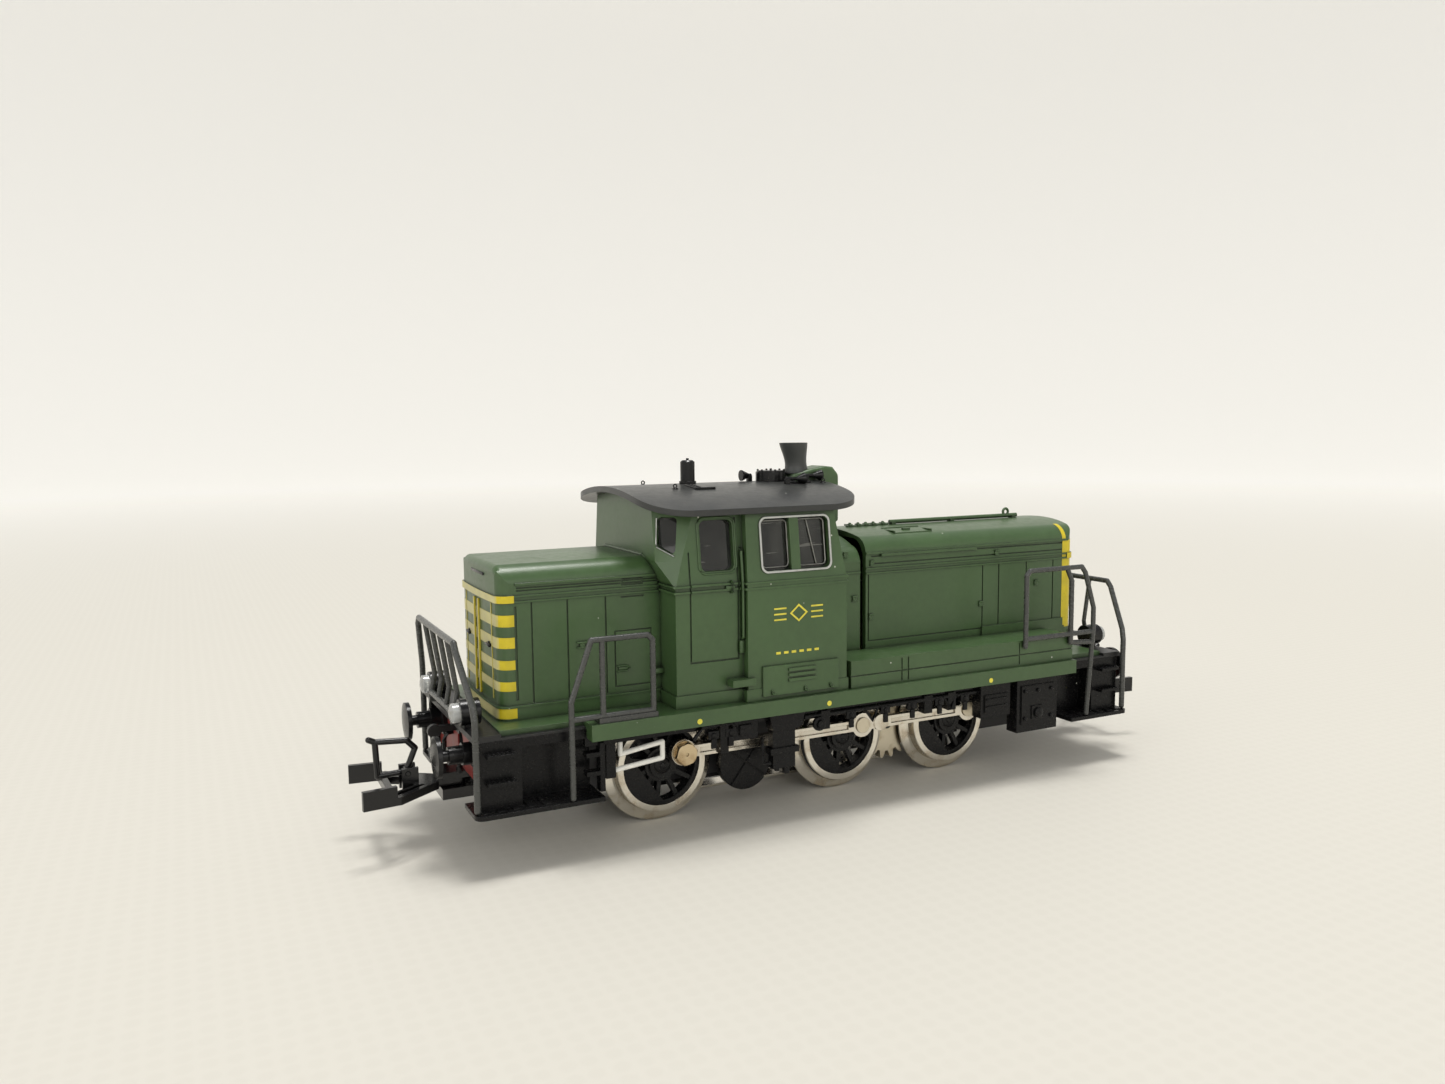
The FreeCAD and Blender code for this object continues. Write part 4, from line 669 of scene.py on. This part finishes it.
def bonnet_top_details():
    """The hatches on the long bonnet's crown and the row of fixings on its ridge."""
    piece = Piece("long_bonnet_hatch", "green", "green_plastic")
    (x0, x1), (y0, y1) = HATCH_X, HATCH_Y
    lines = ((x0, x1, y1 - HATCH_LINE, y1), (x0, x1, y0, y0 + HATCH_LINE),
             (x0, x0 + HATCH_LINE, y0, y1), (x1 - HATCH_LINE, x1, y0, y1))
    for side in (-1, 1):
        for near_x, far_x, inner, outer in lines:
            z = crown_z((inner + outer) / 2, 39.75, 40.5)
            ends = sorted((side * inner, side * outer))
            piece.bar(near_x, far_x, ends[0], ends[1], z - 0.3, z + 0.14, 0.05)
        handle = sorted((side * 5.0, side * 5.6))
        piece.bar(17.4, 18.8, handle[0], handle[1], 39.9, 40.40)
    for x in RIDGE_FIXINGS:
        piece.bar(x, x + 0.7, -0.5, 0.5, 40.3, 40.95)
        piece.lathe((x + 0.35, 0, 40.9), (0, 0, 1), ((0, 0.28), (0.2, 0.25), (0.28, 0.12)), 12)
    piece.bar(10.1, 18.2, -0.35, 0.35, 40.35, 40.75)
    piece.done()


# ---- cab ---------------------------------------------------------------------------------
BELT_Z = 35.0
DOOR_Y = 15.4
BAY_Y = 16.8


def wall_y(z, half, out=0.0):
    """Where the left cab wall's face lies at height z; it leans in above the belt."""
    return -(half + out - 1.2 * max(0.0, (z - BELT_Z) / 10.0))


def frame_loop(x0, x1, z0, z1, corner, half, out):
    """A rounded window outline that lies on the leaning wall."""
    points = []
    for cx, cz, first in ((x1 - corner, z0 + corner, 270), (x1 - corner, z1 - corner, 0),
                          (x0 + corner, z1 - corner, 90), (x0 + corner, z0 + corner, 180)):
        for step in range(5):
            t = math.radians(first + 22.5 * step)
            x, z = cx + corner * math.cos(t), cz + corner * math.sin(t)
            points.append((x, wall_y(z, half, out), z))
    return points


def door_window_rims():
    """The raised rims of the windows in the cab doors."""
    piece = Piece("door_window_rims", "green", "green_plastic")
    piece.wire(frame_loop(-23.75, -17.95, 36.65, 44.45, 1.1, DOOR_Y, 0.02), 0.16, closed=True)
    piece.both_sides()
    piece.done()


def sliding_window_frames():
    """The thin frames of the sliding panes, set back in the bay windows."""
    piece = Piece("sliding_window_frames", "dull_frame", "silver_trim")
    for x0, x1 in ((-14.25, -9.95), (-8.3, -3.75)):
        piece.wire(frame_loop(x0, x1, 37.05, 43.7, 0.6, BAY_Y, -0.75), 0.13, closed=True)
    piece.wire([(-6.6, wall_y(43.6, BAY_Y, -0.8), 43.6), (-5.3, wall_y(37.2, BAY_Y, -0.8), 37.2)], 0.09)
    piece.both_sides()
    piece.done()


RAIL_X = -17.35
SILL_HOOKS = (-13.5, -8.1, -3.8)


def cab_handles():
    """Door handles, upright grab rails beside the doors, hooks along the sill and belt ribs."""
    piece = Piece("cab_door_rails", "green", "green_plastic")
    rail = [(RAIL_X, -15.45, 27.1), (RAIL_X, -15.95, 27.5)]
    rail += [(RAIL_X, wall_y(z, DOOR_Y, 0.55), z) for z in (31.0, 35.0, 37.5, 39.6)]
    rail.append((RAIL_X, wall_y(40.0, DOOR_Y, 0.1), 40.0))
    piece.wire(rail, 0.24)
    piece.bar(-17.9, -17.12, -15.95, -15.3, 25.2, 27.0)
    handle = [(-19.0, -15.5, 35.5), (-19.0, -16.0, 35.4), (-19.0, -16.0, 34.1), (-19.0, -15.5, 33.9)]
    piece.wire(handle, 0.17)
    piece.bar(-19.9, -18.5, -15.75, -15.4, 34.4, 34.9)
    for x in SILL_HOOKS:
        hook = [(x, -17.0, 19.6), (x, -17.35, 19.5), (x, -17.35, 19.1), (x + 0.5, -17.3, 19.0)]
        piece.wire(hook, 0.14)
    for z in (34.2, 35.05):
        piece.bar(-25.2, -20.4, -15.72, -15.3, z, z + 0.3, 0.05)
    piece.both_sides()
    piece.done()


MARK_X = -8.85
MARK_Z = 30.4
DECK_DOTS = (25.7, -4.3, -25.2)
DOT = ((0, 0.40), (0.045, 0.38), (0.05, 0.2))


def plain_marks():
    """A plain generic mark and a row of dashes in yellow print; no letters and no numbers."""
    piece = Piece("cab_side_marks", "mark", "green_plastic")
    y0, y1 = -BAY_Y - 0.05, -BAY_Y + 0.05
    for x0, x1 in ((-12.9, -10.9), (-6.8, -4.8)):
        for z in (29.6, 30.4, 31.2):
            piece.bar(x0, x1, y0, y1, z - 0.12, z + 0.12, 0.02)
    rings = []
    for dx, dz in ((-1.5, 0), (0, 1.3), (1.5, 0), (0, -1.3)):
        x, z = MARK_X + dx, MARK_Z + dz
        inner_x, inner_z = MARK_X + dx * 0.74, MARK_Z + dz * 0.74
        rings.append([(x, y0, z), (inner_x, y0, inner_z), (inner_x, y1, inner_z), (x, y1, z)])
    piece.skin(rings, closed=True)
    for index in range(6):
        x = -12.6 + index * 1.27
        piece.bar(x, x + 0.75, y0, y1, 24.62, 24.98, 0.02)
    piece.both_sides()
    for side in (-1, 1):
        for x in DECK_DOTS:
            piece.lathe((x, side * 17.78, 16.75), (0, side, 0), DOT, 14)
    piece.done()


ROOF_CROWN = 48.5
ROOF_RADIUS = 53.3
ROOF_HATCHES = ((-20.3, -17.3, -7.2, -3.6), (-2.9, 0.2, -5.0, -2.9))
LIFTING_EYES = ((-23.2, -6.1), (2.3, -5.4), (-23.2, 6.1), (2.3, 5.4))
EYE_FOOT = ((0, 0.5), (0.18, 0.46), (0.24, 0.26), (0.34, 0.2))
EYE_RADIUS = 0.26


def roof_z(y):
    """Height of the cab roof's round top at y."""
    return ROOF_CROWN - ROOF_RADIUS + math.sqrt(ROOF_RADIUS ** 2 - y * y)


def roof_fittings():
    """Hatch edges and lifting eyes on the cab roof."""
    piece = Piece("roof_fittings", "fittings", "black_plastic")
    for x0, x1, y0, y1 in ROOF_HATCHES:
        steps = [y0 + (y1 - y0) * k / 5 for k in range(6)]
        piece.wire([(x0, y, roof_z(y) + 0.10) for y in steps], 0.20)
        piece.wire([(x0 + 0.9, y, roof_z(y) + 0.10) for y in steps[1:]], 0.17)
        piece.wire([(x0, y0, roof_z(y0) + 0.10), (x1, y0, roof_z(y0) + 0.10)], 0.20)
    turns = [2 * math.pi * k / 10 for k in range(10)]
    for x, y in LIFTING_EYES:
        z = roof_z(y)
        piece.lathe((x, y, z - 0.1), (0, 0, 1), EYE_FOOT, 16)
        loop = [(x + EYE_RADIUS * math.cos(t), y, z + 0.40 + EYE_RADIUS * math.sin(t)) for t in turns]
        piece.wire(loop, 0.10, closed=True, sides=8)
    piece.done()


# ---- side frames and ends ----------------------------------------------------------------
SPRING_X = (-22.8, -20.1, 0.2, 6.4, 11.4, 16.6, 21.6)
FRAME_RODS = (
    (((-25.0, -15.2, 13.4), (-23.6, -15.4, 15.2), (-19.0, -15.4, 15.2), (-17.5, -15.2, 13.1)), 0.28),
    (((-14.1, -15.2, 12.3), (-14.1, -15.5, 8.6), (-12.9, -15.5, 8.4)), 0.25),
)
BOX_BOLTS = ((33.9, 13.7), (36.6, 13.7), (39.4, 13.7), (33.9, 9.2), (39.4, 9.2))


def frame_details():
    """Rods, brackets, caps and bolts on the side frames."""
    piece = Piece("side_frame_details", "black", "black_plastic")
    piece.lathe((-4.6, -15.3, 13.2), (0, -1, 0), ((0, 1.1), (0.4, 1.05), (0.5, 0.7), (0.9, 0.6)))
    for points, radius in FRAME_RODS:
        piece.wire(points, radius)
    for x in SPRING_X:
        piece.bar(x, x + 1.7, -15.5, -14.8, 13.2, 14.4)
        piece.bar(x + 0.4, x + 1.2, -15.7, -15.3, 11.9, 13.3)
        piece.lathe((x + 0.8, -15.4, 13.8), (0, -1, 0), ((0, 0.36), (0.3, 0.34), (0.36, 0.2)), 12)
    for x in (3.4, 18.2):
        piece.wire([(x, -15.2, 14.6), (x + 1.4, -15.5, 12.5), (x + 2.9, -15.2, 14.6)], 0.26)
    for z in (11.9, 13.1):
        piece.bar(26.1, 30.3, -16.45, -16.1, z, z + 0.25, 0.05)
    for x, z in BOX_BOLTS:
        piece.lathe((x, -16.5, z), (0, -1, 0), ((0, 0.34), (0.3, 0.32), (0.38, 0.18)), 12)
    piece.lathe((36.5, -16.6, 10.0), (0, -1, 0), ((0, 0.9), (0.45, 0.85), (0.6, 0.5), (0.62, 0.2)))
    piece.both_sides()
    piece.done()


HOSE_Y = 4.6
BOLT_OFFSETS = (-1.6, 1.6)


def beam_fittings():
    """Brake hoses and buffer bolts on both buffer beams."""
    for end, name in ((-1, "beam_fittings_short_end"), (1, "beam_fittings_long_end")):
        piece = Piece(name, "fittings", "black_plastic")
        for y in (-HOSE_Y, HOSE_Y):
            tap = [(end * x, y, z) for x, z in ((53.9, 13.7), (54.9, 13.6), (55.3, 12.6), (55.3, 10.9))]
            piece.wire(tap, 0.34)
            piece.lathe((end * 55.3, y, 11.3), (0, 0, -1), ((0, 0.45), (0.7, 0.45), (0.9, 0.3)), 14)
        for y in (-BUFFER_Y, BUFFER_Y):
            for dy in BOLT_OFFSETS:
                for dz in BOLT_OFFSETS:
                    bolt = (end * 54.65, y + dy, BUFFER_Z + dz)
                    piece.lathe(bolt, (end, 0, 0), ((0, 0.24), (0.18, 0.22), (0.24, 0.1)), 10)
        piece.done()


def step_treads():
    """Ribbed treads on the corner steps and on their foot plates."""
    for end, name in ((-1, "step_treads_short_end"), (1, "step_treads_long_end")):
        piece = Piece(name, "black", "black_plastic")
        for z in (12.05, 15.65):
            for index in range(6):
                x0, x1 = sorted((end * (50.9 + index * 0.62), end * (51.2 + index * 0.62)))
                piece.bar(x0, x1, -16.6, -15.4, z - 0.05, z + 0.1, 0.03)
        for index in range(5):
            x0, x1 = sorted((end * (46.0 + index * 2.0), end * (47.2 + index * 2.0)))
            piece.bar(x0, x1, -16.6, -13.0, 8.15, 8.32, 0.05)
        piece.both_sides()
        piece.done()


BUFFER_Y = (high("buffers")[1] - low("buffers")[1]) / 2 - 2.75
BUFFER_Z = high("buffers")[2] - 2.75


def hub_caps():
    """The black caps over the axle ends."""
    profile = ((0, 1.2), (0.22, 1.2), (0.34, 1.05), (0.38, 0.5), (0.50, 0.42), (0.55, 0.25))
    for wheelset in WHEELSETS:
        piece = Piece("hub_caps_" + wheelset, "wheel", "wheel_black", "wheelset_" + wheelset)
        piece.lathe((wheel_x(wheelset), -9.15, AXLE_Z), (0, -1, 0), profile)
        piece.both_sides()
        piece.done()


END_WALL_X = -29.02        # the cab's short end wall, above the belt
CANT_Z = 38.5              # height at which the canted corner is CANT_HALF from the middle
CANT_HALF = 12.0
CANT_EDGE = Vector((END_WALL_X, -11.475))
CANT_ALONG = (Vector((-25.33, -14.56)) - CANT_EDGE).normalized()
CANT_OUTWARD = Vector((CANT_ALONG.y, -CANT_ALONG.x))


def corner_point(along, z):
    """The point of the canted corner's face at height z, so far along from its front edge."""
    base = CANT_EDGE + CANT_ALONG * along
    front = Vector((END_WALL_X, -(CANT_HALF - 0.15 * (z - CANT_Z))))
    side = Vector((-27.5 + 0.31 * (z - BELT_Z), -(DOOR_Y - 0.12 * (z - BELT_Z))))
    run = side - front
    gap = base - front
    across = run.y * CANT_OUTWARD.x - run.x * CANT_OUTWARD.y
    reach = (run.x * gap.y - run.y * gap.x) / across
    spot = base + CANT_OUTWARD * (reach + 0.05)
    return (spot.x, spot.y, z)


def corner_window_edges():
    """The printed edge on two sides of each canted corner window."""
    piece = Piece("corner_window_edges", "silver", "silver_trim")
    path = [corner_point(0.42, z) for z in (44.5, 43.2, 41.9, 40.9)]
    path += [corner_point(0.55 + 2.6 * t, 40.5 - 1.2 * t) for t in (0.0, 0.33, 0.66, 1.0)]
    piece.wire(path, 0.09)
    piece.both_sides()
    piece.done()


BEAD_HALF = 7.4


def cab_wall_beads():
    """The bead on the cab's short end wall and its two slanting ends."""
    bead = Piece("cab_wall_beads", "green", "green_plastic")
    bead.wire([(-29.0, y, 39.05) for y in (-BEAD_HALF, -2.5, 2.5, BEAD_HALF)], 0.28)
    for side in (-1, 1):
        slant = ((-29.0, BEAD_HALF, 39.05), (-28.7, 9.2, 38.4), (-27.75, 10.3, 36.2))
        bead.wire([(x, side * y, z) for x, y, z in slant], 0.22)
    bead.done()


def nose_shoulder_edge():
    """The yellow edge carried over the long bonnet's rounded shoulder."""
    piece = Piece("nose_shoulder_edges", "yellow", "green_plastic")
    shoulder = arc((-BONNET_HALF, 37.4), (-BONNET_HALF + 0.67, 38.79), (-BONNET_HALF + 2.4, 39.75), 8)
    rings = []
    for y, z in [(-BONNET_HALF, 37.1)] + shoulder:
        out = Vector((y + 7.0, z - 36.6)).normalized() * 0.05
        over = (y + out.x, z + out.y)
        x0, x1 = NOSE_EDGE_X, NOSE_EDGE_X + 0.8
        rings.append([(x0, y, z), (x0, *over), (x1, *over), (x1, y, z)])
    piece.skin(rings)
    piece.both_sides()
    piece.done()


def small_pieces():
    hub_caps()
    corner_window_edges()
    cab_wall_beads()
    nose_shoulder_edge()
    nose_stripes(-1, "nose_stripes_short_end")
    nose_stripes(1, "nose_stripes_long_end")
    nose_ribs(-1, "nose_ribs_short_end")
    nose_ribs(1, "nose_ribs_long_end")
    nose_handles(-1, "nose_handles_short_end")
    nose_handles(1, "nose_handles_long_end")
    nose_corner_edges()
    bonnet_latches()
    bonnet_top_details()
    door_window_rims()
    sliding_window_frames()
    cab_handles()
    plain_marks()
    roof_fittings()
    frame_details()
    beam_fittings()
    step_treads()


# ---- stage -------------------------------------------------------------------------------
FLOOR_RADIUS = 1.1
SWEEP_RADIUS = 1.0
WALL_TOP = 1.25
FLOOR_SIDES = 96


def sheet_material():
    """Pale card with a faint weave; a little glow evens it out where the lamps don't reach."""
    s = Shader("backdrop_sheet")
    weave = s.add("ShaderNodeTexVoronoi")
    s.links.new(s.place, weave.inputs["Vector"])
    weave.inputs["Scale"].default_value = 1.0 / (2.2 * MM)
    weave.inputs["Randomness"].default_value = 0.15
    dots = s.ramp(weave.outputs["Distance"], 0.25, 0.5)
    distance = s.add("ShaderNodeVectorMath", operation="LENGTH")
    s.links.new(s.place, distance.inputs[0])
    away = distance.outputs["Value"]
    height = s.ramp(s.parts_of(s.place)[2], 0.1, 0.9)
    near = s.mix(dots, (0.576, 0.554, 0.498, 1), (0.588, 0.566, 0.510, 1))
    tint = s.mix(s.ramp(away, 0.15, 1.2), near, (0.70, 0.685, 0.64, 1))
    s.set(Base_Color=tint, Roughness=0.6, Emission_Color=(0.93, 0.91, 0.87, 1))
    glow = s.math("SUBTRACT", s.times(s.ramp(away, 0.12, 1.15), 0.38), s.times(height, 0.05))
    s.set(Emission_Strength=glow)
    s.bump(dots, 0.03, 0.10)
    return s.material


def make_backdrop():
    """A pale round floor that lies flat under the model and sweeps up into a wall all round it."""
    profile = [(0.0, 0.0), (FLOOR_RADIUS / 2, 0.0), (FLOOR_RADIUS, 0.0)]
    for step in range(1, 17):
        angle = math.radians(90 * step / 16)
        rise = SWEEP_RADIUS * (1 - math.cos(angle))
        profile.append((FLOOR_RADIUS + SWEEP_RADIUS * math.sin(angle), rise))
    profile.append((FLOOR_RADIUS + SWEEP_RADIUS, WALL_TOP))
    bm = bmesh.new()
    middle = bm.verts.new((0, 0, 0))
    turns = [2 * math.pi * k / FLOOR_SIDES for k in range(FLOOR_SIDES)]
    rows = [[bm.verts.new((r * math.cos(t), r * math.sin(t), z)) for t in turns] for r, z in profile[1:]]
    for k in range(FLOOR_SIDES):
        after = (k + 1) % FLOOR_SIDES
        bm.faces.new((middle, rows[0][k], rows[0][after]))
        for inner, outer in zip(rows, rows[1:]):
            bm.faces.new((inner[k], outer[k], outer[after], inner[after]))
    mesh = bpy.data.meshes.new("backdrop")
    bm.to_mesh(mesh)
    bm.free()
    for face in mesh.polygons:
        face.use_smooth = True
    sheet = bpy.data.objects.new("backdrop", mesh)
    bpy.context.collection.objects.link(sheet)
    mesh.materials.append(sheet_material())


def add_area(name, place, target, size, power, colour):
    light = bpy.data.lights.new(name, "AREA")
    light.shape = "RECTANGLE"
    light.size, light.size_y = size
    light.energy = power
    light.color = colour
    lamp = bpy.data.objects.new(name, light)
    lamp.location = place
    aim = Vector(target) - Vector(place)
    lamp.rotation_euler = aim.to_track_quat("-Z", "Y").to_euler()
    bpy.context.collection.objects.link(lamp)


# Each lamp's name, place, target, size, power and colour.
LAMPS = (
    ("soft_top", (0.10, 0.06, 1.00), (0, 0, 0), (0.30, 0.26), 8.0, (1.0, 0.985, 0.955)),
    ("soft_front", (-0.30, -1.25, 0.62), (0, 0, 0.02), (1.3, 0.7), 4.9, (1.0, 0.99, 0.97)),
    ("soft_left", (-1.1, -0.15, 0.50), (0, 0, 0.02), (0.8, 0.6), 2.2, (1.0, 0.99, 0.97)),
)
SKY_COLOUR = (0.92, 0.93, 0.94, 1)
SKY_STRENGTH = 0.50


def make_lights():
    for lamp in LAMPS:
        add_area(*lamp)
    world = bpy.data.worlds.new("studio")
    world.use_nodes = True
    sky = world.node_tree.nodes["Background"]
    sky.inputs["Color"].default_value = SKY_COLOUR
    sky.inputs["Strength"].default_value = SKY_STRENGTH
    bpy.context.scene.world = world


CAMERA_AZIMUTH = -26.465
CAMERA_ELEVATION = 5.936
CAMERA_ROLL = -0.573
CAMERA_PLACE = (-0.08757, -0.1506, 0.05677)
LENS_MM = 27.22


def make_camera():
    az, el, roll = (math.radians(a) for a in (CAMERA_AZIMUTH, CAMERA_ELEVATION, CAMERA_ROLL))
    back = Vector((math.sin(az) * math.cos(el), -math.cos(az) * math.cos(el), math.sin(el)))
    right = Vector((0, 0, 1)).cross(back).normalized()
    up = back.cross(right)
    turned_right = right * math.cos(roll) + up * math.sin(roll)
    turned_up = up * math.cos(roll) - right * math.sin(roll)
    data = bpy.data.cameras.new("camera")
    data.sensor_width = 36.0
    data.lens = LENS_MM
    data.clip_start = 0.01
    camera = bpy.data.objects.new("camera", data)
    rotation = Matrix((turned_right, turned_up, back)).transposed().to_4x4()
    camera.matrix_world = Matrix.Translation(CAMERA_PLACE) @ rotation
    bpy.context.collection.objects.link(camera)
    bpy.context.scene.camera = camera


dress_frame()
small_pieces()
make_backdrop()
make_lights()
make_camera()
bpy.context.scene.view_settings.view_transform = "Standard"
